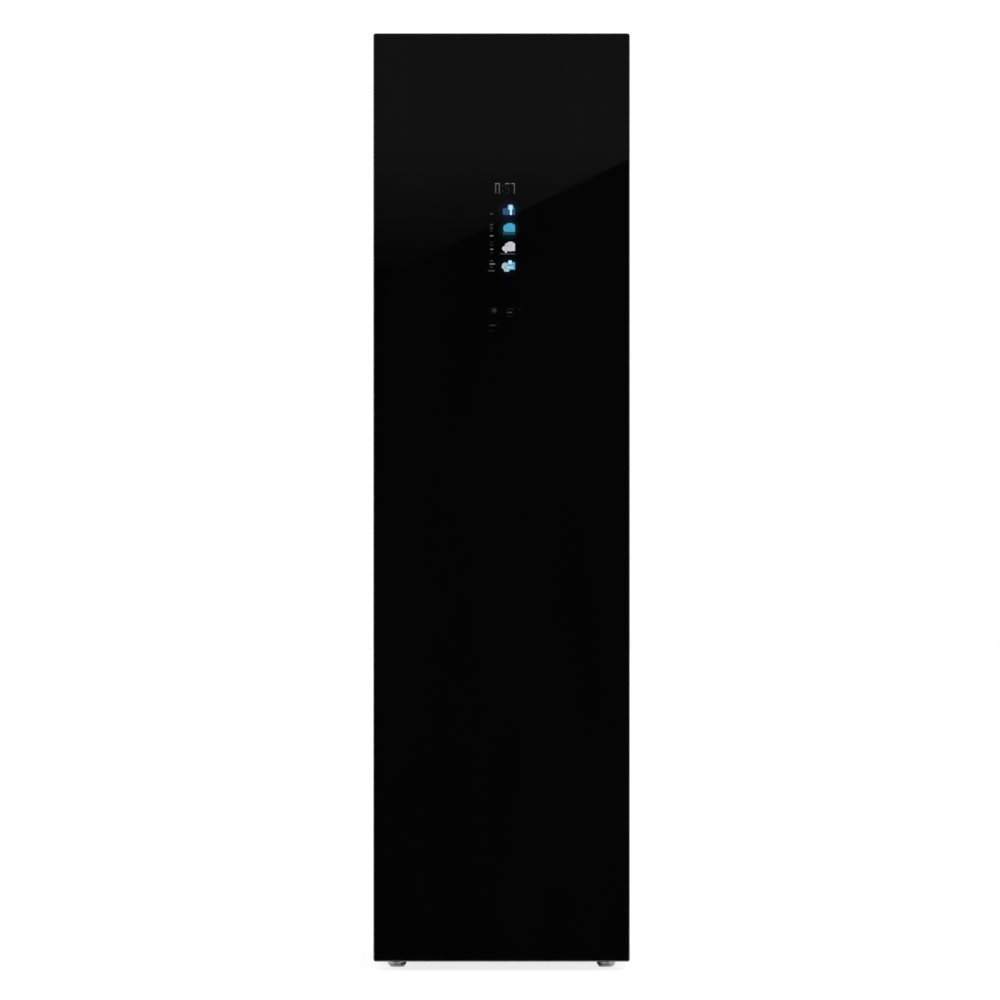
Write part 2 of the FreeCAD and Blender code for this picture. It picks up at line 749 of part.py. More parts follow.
def aroma_cartridge():
    """Small cartridge with a slotted cover, hung in the floor."""
    x, y = aroma_x, aroma_y
    half_x, half_y = aroma_width / 2, aroma_depth / 2
    body = rounded(x - half_x, x + half_x, y - half_y, y + half_y,
                   floor_top - aroma_height, floor_top, 4.0)
    cover = rounded(x - half_x - cover_flange, x + half_x + cover_flange,
                    y - half_y - cover_flange, y + half_y + cover_flange,
                    floor_top, floor_top + cover_thickness, 6.0)
    tab = rounded(x - 14, x + 14, y + half_y - 9, y + half_y - 5, floor_top, floor_top + 15, 3.0, Y_AXIS)
    slots = []
    for i in range(6):
        sx = x - 25 + i * 10
        slots.append(box(sx - 2, sx + 2, y - 15, y + 4, floor_top - 3, floor_top + 4))
    return cut(fuse([body, cover, tab]), slots)


def shelf():
    """Slotted shelf that rests on the liner's ledges."""
    half = cabin_half - shelf_side_gap
    y1 = shelf_front_y + shelf_depth
    plate = rounded(-half, half, shelf_front_y, y1, shelf_bottom, shelf_bottom + shelf_thickness, 12.0)
    border, bar = 22.0, 8.0
    width = (2 * half - 2 * border - (shelf_slots - 1) * bar) / shelf_slots
    slots = []
    for i in range(shelf_slots):
        x = -half + border + i * (width + bar)
        slots.append(box(x, x + width, shelf_front_y + border, y1 - border,
                         shelf_bottom - 1, shelf_bottom + shelf_thickness + 1))
    cross = box(-half + border, half - border, shelf_front_y + shelf_depth / 2 - 5,
                shelf_front_y + shelf_depth / 2 + 5, shelf_bottom, shelf_bottom + shelf_thickness - 3)
    return fuse([cut(plate, slots), cross])


# ---------------------------------------------------------------- water tanks
def tank_shell(side):
    """Open-topped water tank."""
    x0 = side * tank_spacing / 2 - tank_width / 2
    x1 = x0 + tank_width
    outside = rounded(x0, x1, tank_y0, tank_y1, tank_bottom, tank_top, tank_corner)
    inside = rounded(x0 + tank_wall, x1 - tank_wall, tank_y0 + tank_wall, tank_y1 - tank_wall,
                     tank_bottom + tank_wall, tank_top + 1, tank_corner - tank_wall)
    return cut(outside, [inside])


def handle_frame(side):
    """Middle of one tank's handle pivot, as x, y, z."""
    return side * tank_spacing / 2, handle_pivot_y, handle_z


def tank_lid(side):
    """Lid with a recess for the folded handle, its pivot holes and a raised filler cap."""
    x, pivot_y, pivot_z = handle_frame(side)
    half_x, half_y = tank_width / 2, tank_depth / 2
    lid = rounded(x - half_x, x + half_x, tank_y0, tank_y1, tank_top, lid_top, tank_corner)
    recess_half = handle_width / 2 + face_gap
    recess = rounded(x - recess_half, x + recess_half, tank_mid_y - half_y + 16, pivot_y + 10,
                     tank_top + 4, lid_top + 1, 5.0)
    pins = rod(handle_pin_radius + pin_gap, (x - recess_half - handle_pin_length - 1, pivot_y, pivot_z),
               X_AXIS, 2 * (recess_half + handle_pin_length + 1))
    cap = rod(15.0, (x + side * 70, tank_mid_y, lid_top), Z_AXIS, 4)
    return fuse([cut(lid, [recess, pins]), cap])


def tank_handle(side):
    """Folding handle: a grip between two arms with pivot pins."""
    x, pivot_y, pivot_z = handle_frame(side)
    half = handle_width / 2
    bar = handle_bar / 2
    grip_y = pivot_y - handle_reach
    grip = rounded(x - half, x + half, grip_y - bar, grip_y + bar, pivot_z - bar, pivot_z + bar,
                   2.0, X_AXIS)
    pieces = [grip]
    for end in (-1, 1):
        inner = x + end * (half - handle_bar)
        outer = x + end * half
        low, high = min(inner, outer), max(inner, outer)
        pieces.append(box(low, high, grip_y, pivot_y, pivot_z - bar, pivot_z + bar))
        pieces.append(rod(bar, (low, pivot_y, pivot_z), X_AXIS, handle_bar))
        pieces.append(rod(handle_pin_radius, (outer, pivot_y, pivot_z), X_AXIS * end, handle_pin_length))
    return fuse(pieces)


# ---------------------------------------------------------------- moving hanger rail
def hanger_rail():
    """Rail with collars at each hanger's place, two posts and the slide bar with its yoke slot."""
    half = rail_length / 2
    bar = rod(rail_radius, (-half, rail_y, rail_z), X_AXIS, rail_length)
    pieces = [bar]
    for station in stations:
        for side in (-1, 1):
            inner = station + side * (hook_thickness / 2 + 2)
            pieces.append(rod(collar_radius, (inner, rail_y, rail_z), X_AXIS * side, collar_thickness))
    for side in (-1, 1):
        x = side * post_spacing / 2
        pieces.append(box(x - post_side / 2, x + post_side / 2, rail_y - post_side / 2,
                          rail_y + post_side / 2, rail_z, slide_bar_bottom + 1))
        pieces.append(rod(rail_radius + 2, (side * half, rail_y, rail_z), X_AXIS * side, 4))
    pieces.append(box(-slide_bar_length / 2, slide_bar_length / 2, rail_y - slide_bar_width / 2,
                      rail_y + slide_bar_width / 2, slide_bar_bottom, slide_bar_top))
    slot_half_x = crank_pin_radius + yoke_side_gap
    slot_half_y = crank_throw + crank_pin_radius + 3
    yoke = rounded(-slot_half_x - 14, slot_half_x + 14, rail_y - slot_half_y - 10,
                   rail_y + slot_half_y + 10, slide_bar_bottom, slide_bar_top, 8.0)
    slot = rounded(-slot_half_x, slot_half_x, rail_y - slot_half_y, rail_y + slot_half_y,
                   slide_bar_bottom - 1, slide_bar_top + 1, slot_half_x - 0.1)
    return cut(fuse(pieces + [yoke]), [slot])


def rail_bearings():
    """Two plain bearing blocks that the slide bar runs in."""
    width = slide_bar_width
    blocks = []
    for side in (-1, 1):
        x = side * bearing_spacing / 2
        block = rounded(x - bearing_length / 2, x + bearing_length / 2,
                        rail_y - width / 2 - bearing_wall, rail_y + width / 2 + bearing_wall,
                        liner_top, slide_bar_top + bearing_wall, 3.0, X_AXIS)
        bore = box(x - bearing_length, x + bearing_length, rail_y - width / 2 - face_gap,
                   rail_y + width / 2 + face_gap, slide_bar_bottom - face_gap, slide_bar_top + face_gap)
        blocks.append(block.cut(bore))
    return group(blocks)


def crank():
    """Crank disc with its pin in the yoke slot and its shaft in the motor."""
    disc = rod(crank_disc_radius, (0, rail_y, crank_disc_bottom), Z_AXIS, crank_disc_thickness)
    pin = rod(crank_pin_radius, (0, rail_y - crank_throw, slide_bar_bottom + 1), Z_AXIS,
              crank_disc_bottom - slide_bar_bottom)
    shaft = rod(5.0, (0, rail_y, crank_disc_bottom), Z_AXIS, motor_bottom - crank_disc_bottom + 16)
    return fuse([disc, pin, shaft])


def shaker_motor():
    """Geared motor on a bridge bracket over the slide bar."""
    plate_top = motor_bottom + 3
    half_span = 62.0
    plate = box(-34, 34, rail_y - half_span, rail_y + half_span, motor_bottom, plate_top)
    legs = [box(-34, 34, rail_y + s * half_span - (3 if s > 0 else 0),
                rail_y + s * half_span + (0 if s > 0 else 3), liner_top, plate_top) for s in (-1, 1)]
    gearbox = rounded(-32, 32, rail_y - 34, rail_y + 34, plate_top, plate_top + 20, 10.0)
    bore = rod(5.0 + pin_gap, (0, rail_y, motor_bottom - 1), Z_AXIS, 18)
    return cut(fuse([plate, gearbox] + legs), [bore])


# ---------------------------------------------------------------- hangers
def hanger(x):
    """Moulded hanger: a hook over the rail, a neck and two shoulders that widen outwards."""
    outer = hook_inner + hook_section
    half = hook_thickness / 2
    ring = rod(outer, (x - half, rail_y, rail_z), X_AXIS, hook_thickness)
    ring = ring.cut(rod(hook_inner, (x - half - 1, rail_y, rail_z), X_AXIS, hook_thickness + 2))
    ring = ring.cut(box(x - half - 1, x + half + 1, rail_y - outer - 1, rail_y + outer + 1,
                        rail_z - outer - 1, rail_z - 4))
    neck_z = rail_z - 62
    leg_y = rail_y + hook_inner
    leg = [(leg_y, rail_z), (leg_y + hook_section, rail_z), (leg_y + hook_section, rail_z - 34),
           (rail_y + 5, neck_z + 10), (rail_y + 5, neck_z - 6), (rail_y - 5, neck_z - 6),
           (rail_y - 5, neck_z + 8), (leg_y, rail_z - 32)]
    neck = prism([(x - half, y, z) for y, z in leg], X_AXIS * hook_thickness)
    return fuse([ring, neck, hanger_shoulders(x, neck_z)])


def hanger_shoulders(x, neck_z):
    """Both shoulders: a curved side outline crossed with a plan outline that widens to the tips."""
    reach = hanger_width / 2
    tip_z = rail_z - hanger_drop

    def arc(first, middle, last):
        return Part.Arc(Vector(*first), Vector(*middle), Vector(*last)).toShape()

    past = reach + 8
    top_mid, low_mid = (neck_z + tip_z) / 2 + 10, (neck_z + tip_z) / 2 - 10
    crown, belly = neck_z + 4, neck_z - 20
    side_edges = []
    for end in (-1, 1):
        tip_y, mid_y = rail_y + end * past, rail_y + end * past / 2
        side_edges.append(arc((x, tip_y, tip_z + 4), (x, mid_y, top_mid), (x, rail_y, crown)))
        side_edges.append(Part.makeLine(Vector(x, tip_y, tip_z + 4), Vector(x, tip_y, tip_z - 5)))
        side_edges.append(arc((x, tip_y, tip_z - 5), (x, mid_y, low_mid), (x, rail_y, belly)))
    half_neck, half_mid, half_wide, wide_y = 6.0, 9.0, 17.0, reach - 17
    plan_edges = []
    for end in (-1, 1):
        wide, mid = rail_y + end * wide_y, rail_y + end * wide_y / 2
        for edge in (-1, 1):
            plan_edges.append(arc((x + edge * half_neck, rail_y, 0), (x + edge * half_mid, mid, 0),
                                  (x + edge * half_wide, wide, 0)))
        plan_edges.append(arc((x - half_wide, wide, 0), (x, rail_y + end * reach, 0),
                              (x + half_wide, wide, 0)))
    side = Part.Wire(Part.__sortEdges__(side_edges))
    plan = Part.Wire(Part.__sortEdges__(plan_edges))
    side_form = Part.Face(side).extrude(X_AXIS * 50).translated(Vector(-25, 0, 0))
    plan_form = Part.Face(plan).extrude(Z_AXIS * rail_z)
    return side_form.common(plan_form)


# ---------------------------------------------------------------- hinges and feet
def hinge_arm(z):
    """Arm of a hinge bracket from the cabinet to a round end at the pin."""
    half = hinge_arm_width / 2
    arm = box(hinge_x - half, hinge_x + half, hinge_y, cabinet_front_y + 10, z, z + hinge_plate)
    return [arm, rod(half, (hinge_x, hinge_y, z), Z_AXIS, hinge_plate)]


def hinge_bracket_top():
    """Upper hinge: a plate on the cabinet's top, with its pin hanging into the door."""
    z = cabinet_top
    half = hinge_arm_width / 2
    plate = rounded(hinge_x - half - 28, hinge_x + half, cabinet_front_y + 6, cabinet_front_y + 90,
                    z, z + hinge_plate, 4.0)
    pin = rod(hinge_pin_radius, (hinge_x, hinge_y, z - hinge_pin_length), Z_AXIS, hinge_pin_length + 1)
    holes = [rod(2.6, (x, y, z - 1), Z_AXIS, hinge_plate + 2) for x, y in hinge_screws()]
    return cut(fuse([plate, pin] + hinge_arm(z)), holes)


def hinge_bracket_bottom():
    """Lower hinge: a plate under the base pan, with its pin standing up into the door."""
    z = cabinet_bottom - hinge_plate
    half = hinge_arm_width / 2
    plate = box(hinge_x - half, hinge_x + half, cabinet_front_y + 6, cabinet_front_y + 96,
                z, cabinet_bottom)
    pin = rod(hinge_pin_radius, (hinge_x, hinge_y, cabinet_bottom - 1), Z_AXIS, hinge_pin_length + 1)
    return fuse([plate, pin] + hinge_arm(z))


def hinge_cover_top():
    """Plastic cap over the upper hinge bracket."""
    wall = 2.0
    half = hinge_arm_width / 2
    x0, x1 = hinge_x - half - 32, cabinet_half
    y0, y1 = cabinet_front_y + 1, cabinet_front_y + 95
    top = overall_height - 2
    outside = rounded(x0, x1, y0, y1, cabinet_top, top, 6.0)
    outside = outside.makeChamfer(2.0, [e for e in outside.Edges if abs(e.CenterOfMass.z - top) < 0.01])
    hollow = box(x0 + wall, hinge_x + half + 0.4, y0 + wall, y1 - wall, cabinet_top - 1, top - wall)
    mouth = box(hinge_x - half - 0.5, hinge_x + half + 0.4, y0 - 1, y0 + wall + 1,
                cabinet_top - 1, cabinet_top + hinge_plate + 1)
    return cut(outside, [hollow, mouth])


def foot_places():
    """Places of the four feet, as x and y."""
    return [(side * foot_x, y) for y in (foot_front_y, foot_rear_y) for side in (-1, 1)]


def levelling_foot(x, y):
    """Screw foot: a pad, a grooved metal ring to turn it by, and a stud."""
    pad = many_sided(24, foot_pad_radius, x, y, 0, foot_pad_height)
    points = []
    for i in range(2 * foot_grooves):
        angle = math.pi * i / foot_grooves
        radius = foot_radius if i % 2 else foot_radius - 1.4
        points.append((x + radius * math.cos(angle), y + radius * math.sin(angle), foot_pad_height))
    ring = prism(points, Z_AXIS * foot_ring_height)
    top = foot_pad_height + foot_ring_height
    stud = rod(foot_stud_radius, (x, y, top - 1), Z_AXIS, foot_stud_top - top + 1)
    return fuse([pad, ring, stud])


def foot_sockets():
    """Nuts in the base pan that the feet screw into."""
    nuts = []
    radius = socket_flats / 2 / math.cos(math.pi / 6)
    for x, y in foot_places():
        nut = many_sided(6, radius, x, y, pan_top, socket_height)
        nuts.append(nut.cut(rod(foot_stud_radius + pin_gap, (x, y, pan_top - 1), Z_AXIS, socket_height + 2)))
    return group(nuts)


# ---------------------------------------------------------------- machine compartment
def air_duct():
    """Housing that leads the air down past the coils, through the fan and up to the grille."""
    x0, x1 = duct_x
    y0, y1 = duct_y
    outside = box(x0, x1, y0, y1, pan_top, floor_underside)
    inside = box(x0 + duct_wall, x1 - duct_wall, y0 + duct_wall, y1 - duct_wall,
                 pan_top + duct_wall, floor_underside - duct_wall)
    fx, fy, fz = fan_centre
    openings = [
        box(filter_slot()[0] - 4, filter_slot()[1] + 4, y0 + duct_wall, filter_slot()[3] + 3,
            floor_underside - duct_wall - 1, floor_underside + 1),
        box(grille_x[0], grille_x[1], grille_y[0], grille_y[1],
            floor_underside - duct_wall - 1, floor_underside + 1),
        rod(fan_shaft_radius + 3, (x0 - 1, fy, fz), X_AXIS, duct_wall + 2),
    ]
    openings += [refrigerant_pipe(i, pipe_radius + face_gap) for i in range(2)]
    ledges = []
    for lx in (x0 + 1, x1 - coil_ledge - 1):
        ledges.append(box(lx, lx + coil_ledge, evaporator_y[0] - 4, condenser_y[1] + 4,
                          coil_bottom - face_gap - 6, coil_bottom - face_gap))
    return fuse([cut(outside, [inside] + openings)] + ledges)


def coil(y0, y1):
    """Finned coil: grooved fin block, two end plates and the ends of its tubes."""
    x0 = duct_x[0] + duct_wall + 14
    x1 = duct_x[1] - duct_wall - 14
    top = coil_bottom + coil_height
    block = box(x0, x1, y0 + 3, y1 - 3, coil_bottom + 4, top - 4)
    pitch = (x1 - x0 - 8) / coil_grooves
    grooves = []
    for i in range(coil_grooves):
        gx = x0 + 4 + (i + 0.25) * pitch
        for gy0, gy1 in ((y0, y0 + 10), (y1 - 10, y1)):
            grooves.append(box(gx, gx + pitch / 2, gy0, gy1, coil_bottom + 10, top - 10))
    plates = [box(x, x + 2, y0, y1, coil_bottom, top) for x in (x0 - 1, x1 - 1)]
    tubes = []
    middle = (y0 + y1) / 2
    for z in coil_tubes():
        tubes.append(rod(pipe_radius, (x0 - 10, middle, z), X_AXIS, x1 - x0 + 20))
    return fuse([cut(block, grooves)] + plates + tubes)


def coil_end_x():
    """The tube ends of both coils on the compressor's side."""
    return duct_x[0] + duct_wall + 4


def coil_tubes():
    """Heights of a coil's tubes."""
    return [coil_bottom + 30 + i * 100 for i in range(3)]


def pipe_ends():
    """Where the two refrigerant pipes meet the coils' highest tubes, as x, y and z."""
    return [(coil_end_x(), sum(y) / 2, coil_tubes()[-1]) for y in (condenser_y, evaporator_y)]


def refrigerant_pipe(index, radius):
    """One pipe: up from the compressor, then level to a coil's tube."""
    cx, cy = compressor_centre
    x, y, z = pipe_ends()[index]
    start_x = cx + (12, -16)[index]
    past_x, past_y = x + (x - start_x) * 0.1, y + (y - cy) * 0.1
    pipe = bent_tube((start_x, cy, compressor_bottom + compressor_height), (start_x, cy, z),
                     (past_x, past_y, z), radius, pipe_bend)
    return pipe.cut(box(x, x + 60, y - 60, y + 60, z - 20, z + 20))


def refrigerant_pipes():
    """Copper pipes from the compressor to the condenser and the evaporator."""
    return group([refrigerant_pipe(i, pipe_radius) for i in range(2)])


def fan_wheel():
    """Blower wheel with forward-leaning blades between a back disc and a front ring."""
    fx, fy, fz = fan_centre
    x0 = fx - fan_width / 2
    back = rod(fan_radius, (x0, fy, fz), X_AXIS, 2)
    front = rod(fan_radius, (x0 + fan_width - 2, fy, fz), X_AXIS, 2)
    front = front.cut(rod(fan_radius - 16, (x0, fy, fz), X_AXIS, fan_width + 2))
    hub = rod(11, (x0, fy, fz), X_AXIS, 24)
    shaft_start = duct_x[0] - 24
    shaft = rod(fan_shaft_radius, (shaft_start, fy, fz), X_AXIS, x0 + 12 - shaft_start)
    blades = []
    blade = box(x0 + 1, x0 + fan_width - 1, fy - 0.8, fy + 0.8, fz + fan_radius - 15, fz + fan_radius - 1)
    blade.rotate(Vector(fx, fy, fz + fan_radius - 8), X_AXIS, 32)
    for i in range(fan_blades):
        turned = blade.copy()
        turned.rotate(Vector(*fan_centre), X_AXIS, 360.0 * i / fan_blades)
        blades.append(turned)
    return fuse([back, front, hub, shaft] + blades)


def fan_motor():
    """Fan motor on the duct's wall, with a bore for the fan's shaft."""
    fx, fy, fz = fan_centre
    wall_x = duct_x[0]
    body = rod(fan_motor_radius, (wall_x - fan_motor_length, fy, fz), X_AXIS, fan_motor_length)
    flange = rounded(wall_x - 4, wall_x, fy - 42, fy + 42, fz - 42, fz + 42, 8.0, X_AXIS)
    bore = rod(fan_shaft_radius + pin_gap, (wall_x - 26, fy, fz), X_AXIS, 30)
    ribs = [box(wall_x - fan_motor_length, wall_x, fy - 2, fy + 2, fz + s * fan_motor_radius - 2,
                fz + s * fan_motor_radius + 3) for s in (-1, 1)]
    return cut(fuse([body, flange] + ribs), [bore])


def compressor():
    """Rotary compressor with its side accumulator, on a foot plate."""
    cx, cy = compressor_centre
    top = compressor_bottom + compressor_height
    radius, bottom = compressor_radius, compressor_bottom
    profile = [(0, bottom), (radius - 10, bottom), (radius, bottom + 14),
               (radius, top - 20), (radius - 16, top), (0, top)]
    outline = Part.makePolygon([Vector(cx + r, cy, z) for r, z in profile + profile[:1]])
    shell = Part.Face(outline).revolve(Vector(cx, cy, 0), Z_AXIS, 360)
    half_x, half_y = compressor_radius + compressor_plate_margin, compressor_radius
    plate_z = pan_top + grommet_height
    plate = rounded(cx - half_x, cx + half_x, cy - half_y, cy + half_y,
                    plate_z, plate_z + compressor_plate_thickness, 10.0)
    stem = rod(30, (cx, cy, plate_z), Z_AXIS, compressor_bottom - plate_z + 4)
    caps = rod(22, (cx, cy, top - 2), Z_AXIS, 2)
    return fuse([shell, plate, stem, caps])


def compressor_grommets():
    """Rubber mounts under the compressor's foot plate."""
    cx, cy = compressor_centre
    half_x, half_y = compressor_radius + compressor_plate_margin, compressor_radius
    mounts = []
    for sx in (-1, 1):
        for sy in (-1, 1):
            x = cx + sx * (half_x - grommet_radius)
            y = cy + sy * (half_y - grommet_radius)
            mounts.append(many_sided(12, grommet_radius, x, y, pan_top, grommet_height))
    return group(mounts)


def steam_generator():
    """Small boiler on two legs, with its outlet stub and heater terminals."""
    x0, x1 = generator_x
    y0, y1 = generator_y
    z0, z1 = generator_z
    body = rounded(x0, x1, y0, y1, z0, z1, 14.0, X_AXIS)
    legs = [box(x, x + 18, y0 + 20, y1 - 20, pan_top, z0 + 2) for x in (x0 + 16, x1 - 34)]
    stub = rod(hose_radius, (steam_x, steam_y, z1 - 2), Z_AXIS, 12)
    terminals = [rod(3, (x0 + 24 + i * 18, y0 + 30, z1 - 1), Z_AXIS, 9) for i in range(2)]
    return fuse([body, stub] + legs + terminals)


def steam_hose():
    """Hose from the boiler's outlet to the steam nozzle in the floor, with its two clips."""
    z0 = generator_z[1] + 10
    hose = rod(hose_radius, (steam_x, steam_y, z0), Z_AXIS, floor_underside - z0)
    clips = [rod(hose_radius + 2, (steam_x, steam_y, z), Z_AXIS, 8) for z in (z0 + 6, floor_underside - 16)]
    return fuse([hose] + clips)


def feed_pump():
    """Water pump standing in the base pan behind the wells."""
    x, y = pump_centre
    body = rod(16, (x, y, pan_top), Z_AXIS, 50)
    head = rounded(x - 20, x + 20, y - 15, y + 15, pan_top + 50, pan_top + 66, 4.0)
    spout = rod(4, (x + 8, y, pan_top + 64), Z_AXIS, 16)
    return fuse([body, head, spout])


def control_case():
    """Closed case of the control electronics, under the tank wells."""
    half = control_width / 2
    y0 = inner_front_y + pan_thickness + 4
    top = pan_top + control_height
    case = rounded(-half, half, y0, y0 + control_depth, pan_top, top, 6.0)
    ribs = [box(-half + 20 + i * 40, -half + 24 + i * 40, y0 + 8, y0 + control_depth - 8, top - 1, top + 3)
            for i in range(6)]
    return fuse([case] + ribs)


def cord_gland():
    """Bush in the rear panel for the supply cord."""
    half, lip = gland_half, gland_half + 4
    body = box(gland_x - half, gland_x + half, panel_rear_y - 14, panel_rear_y + sheet,
               gland_z - half, gland_z + half)
    flange = box(gland_x - lip, gland_x + lip, panel_rear_y + sheet, panel_rear_y + sheet + rear_standoff,
                 gland_z - lip, gland_z + lip)
    bore = rod(gland_bore, (gland_x, panel_rear_y - 20, gland_z), Y_AXIS, 40)
    return cut(fuse([body, flange]), [bore])


# ---------------------------------------------------------------- door
def door_outline(inset, y0, y1):
    """The door's rounded outline, taken in by an inset, between two planes."""
    return rounded(-door_half + inset, door_half - inset, y0, y1,
                   door_bottom + inset, overall_height - inset,
                   max(door_corner - inset, 0.5), Y_AXIS)


def hinge_pocket(z0, z1):
    """Pocket in a corner of the door that the hinge arm swings in."""
    reach = hinge_arm_width / 2
    return box(hinge_x - reach - pocket_margin, door_half + 1,
               hinge_y - reach - pocket_margin - 3, door_back_y + 1, z0, z1)


def door_glass():
    """Tinted glass front with ground edges."""
    glass = door_outline(frame_wall + glass_gap, front_y, glass_back_y)
    front_edges = [e for e in glass.Edges if abs(e.CenterOfMass.y - front_y) < 0.01]
    return glass.makeChamfer(glass_arris, front_edges)


def door_frame():
    """Frame round the door: lip, ledge for the glass, side walls and two hinge corner blocks."""
    outside = door_outline(0, front_y, door_back_y)
    front_edges = [e for e in outside.Edges if abs(e.CenterOfMass.y - front_y) < 0.01]
    outside = outside.makeFillet(frame_edge_radius, front_edges)
    seat = door_outline(frame_wall, front_y - 1, glass_back_y)
    window = door_outline(frame_ledge, glass_back_y - 1, ledge_back_y + 1)
    hollow = door_outline(frame_wall, ledge_back_y, door_back_y + 1)
    ring = cut(outside, [seat, window, hollow])
    x0 = door_half - frame_wall - corner_block
    x1 = door_half - frame_wall + 0.5
    inner_top, inner_bottom = overall_height - frame_wall, door_bottom + frame_wall
    blocks = [box(x0, x1, ledge_back_y - 0.5, door_back_y, inner_top - corner_block, inner_top + 0.5),
              box(x0, x1, ledge_back_y - 0.5, door_back_y, inner_bottom - 0.5, inner_bottom + corner_block)]
    cutters = [hinge_pocket(pocket_top_z, overall_height + 1), hinge_pocket(door_bottom - 1, pocket_bottom_z)]
    cutters.append(rod(bush_radius + pin_gap, (hinge_x, hinge_y, pocket_top_z - bush_length), Z_AXIS,
                       bush_length + 1))
    cutters.append(rod(bush_radius + pin_gap, (hinge_x, hinge_y, pocket_bottom_z - 1), Z_AXIS,
                       bush_length + 1))
    cutters.append(grip_pocket())
    return cut(fuse([ring] + blocks), cutters)


def grip_pocket():
    """Finger space in the door's free edge."""
    x_outer = -door_half - 1
    x_inner = -door_half + grip_depth
    return rounded(x_outer, x_inner, grip_y[0], grip_y[1], grip_z[0], grip_z[1], 10.0, X_AXIS)


def door_grip():
    """Moulded cup behind the finger opening in the door's free edge."""
    x0 = -door_half + frame_wall
    x1 = -door_half + grip_depth + grip_wall
    cup = rounded(x0, x1, grip_y[0] - grip_wall, grip_y[1] + grip_wall,
                  grip_z[0] - grip_wall, grip_z[1] + grip_wall, 12.0, X_AXIS)
    return cut(cup, [grip_pocket()])


def door_liner():
    """Moulded back of the door, with the raised dike that enters the cabin's mouth."""
    y0 = door_back_y - door_liner_thickness
    plate = door_outline(frame_wall + glass_gap, y0, door_back_y)
    dike_z0, dike_z1 = floor_top + 17, ceiling - 18
    dike_y = door_back_y + dike_height
    outer = rounded(-dike_half, dike_half, door_back_y - 1, dike_y, dike_z0, dike_z1, 18.0, Y_AXIS)
    inner = rounded(-dike_half + dike_width, dike_half - dike_width, door_back_y - 2, dike_y + 1,
                    dike_z0 + dike_width, dike_z1 - dike_width, 10.0, Y_AXIS)
    rim = [e for e in outer.Edges if abs(e.CenterOfMass.y - dike_y) < 0.01]
    outer = outer.makeChamfer(3.0, rim)
    block_x = door_half - frame_wall - corner_block - glass_gap
    top_z = overall_height - frame_wall - corner_block - glass_gap
    bottom_z = door_bottom + frame_wall + corner_block + glass_gap
    corners = [box(block_x, door_half, y0 - 1, door_back_y + 1, top_z, overall_height),
               box(block_x, door_half, y0 - 1, door_back_y + 1, door_bottom, bottom_z)]
    groove = 1.2
    lines = []
    for i in range(4):
        z = 70 + i * 72
        lines.append(rounded(-dike_half, dike_half, door_back_y - groove, door_back_y + 1, z, z + 36,
                             12.0, Y_AXIS))
    return cut(fuse([plate, outer.cut(inner)]), corners + lines)


def door_gasket():
    """Magnetic seal on the door's back, round the cabin opening."""
    inner_x = cabin_half + gasket_overlap
    outer_x = inner_x + gasket_width
    z0 = floor_top - 5
    z1 = ceiling + 8
    y1 = cabinet_front_y - face_gap
    outside = rounded(-outer_x, outer_x, door_back_y, y1, z0 - gasket_width, z1 + gasket_width, 8.0, Y_AXIS)
    inside = rounded(-inner_x, inner_x, door_back_y - 1, y1 + 1, z0, z1, 4.0, Y_AXIS)
    groove_x = inner_x + gasket_width / 2
    groove_z0, groove_z1 = z0 - gasket_width / 2, z1 + gasket_width / 2
    groove = box(-groove_x - 1, groove_x + 1, y1 - 2, y1 + 1, groove_z0 - 1, groove_z1 + 1)
    groove = groove.cut(box(-groove_x + 1, groove_x - 1, y1 - 3, y1 + 2, groove_z0 + 1, groove_z1 - 1))
    return cut(outside, [inside, groove])


def display_board():
    """Display and touch electronics bonded behind the glass."""
    z0, z1 = display_z
    y0, y1 = glass_back_y, glass_back_y + 6
    parts = [rounded(display_left_x, display_right_x, y0, y1, z0, z1, 5.0, Y_AXIS)]
    for i in range(3):
        x = display_left_x + 16 + i * 30
        z = z0 + 25 + i * 70
        parts.append(box(x, x + 18, y1 - 1, y1 + 4, z, z + 30))
    return fuse(parts)


def door_hinge_bushes():
    """Flanged bushes in the door's two hinge corners."""
    bushes = []
    for seat_z, way in ((pocket_top_z, -1), (pocket_bottom_z, 1)):
        sleeve = rod(bush_radius, (hinge_x, hinge_y, seat_z), Z_AXIS * way, bush_length)
        flange = rod(bush_radius + 3, (hinge_x, hinge_y, seat_z), Z_AXIS * -way, bush_flange)
        bore = rod(hinge_pin_radius + pin_gap, (hinge_x, hinge_y, seat_z - bush_length - 5), Z_AXIS,
                   2 * bush_length + 10)
        bushes.append(fuse([sleeve, flange]).cut(bore))
    return group(bushes)


# ---------------------------------------------------------------- trouser press
def press_ear_block(z0):
    """One ear of the press base round the hinge axis."""
    half = press_panel_thickness / 2
    root = box(press_axis_x - half, press_axis_x + half, door_back_y, press_axis_y, z0, z0 + press_ear)
    return fuse([root, rod(half, (press_axis_x, press_axis_y, z0), Z_AXIS, press_ear)])


def press_base():
    """Fixed board of the trouser press, with crease cushions' seats and two hinge ears."""
    y1 = door_back_y + press_base_thickness
    board = rounded(press_left, press_axis_x, door_back_y, y1, press_bottom, press_top, 10.0, Y_AXIS)
    ears = [press_ear_block(press_bottom - press_ear - face_gap), press_ear_block(press_top + face_gap)]
    half = press_panel_thickness / 2
    link_x = press_axis_x - half
    link_height = press_ear + face_gap + 1
    links = [box(link_x - 22, link_x + 2, door_back_y, y1, z, z + link_height)
             for z in (press_bottom - press_ear - face_gap, press_top - 1)]
    bore = rod(press_pin_radius + pin_gap, (press_axis_x, press_axis_y, press_bottom - 2 * press_ear),
               Z_AXIS, press_height + 4 * press_ear)
    recess = rounded(press_left + 18, press_axis_x - 26, y1 - 2.5, y1 + 1,
                     press_bottom + 18, press_top - 18, 8.0, Y_AXIS)
    return cut(fuse([board] + ears + links), [bore, recess])


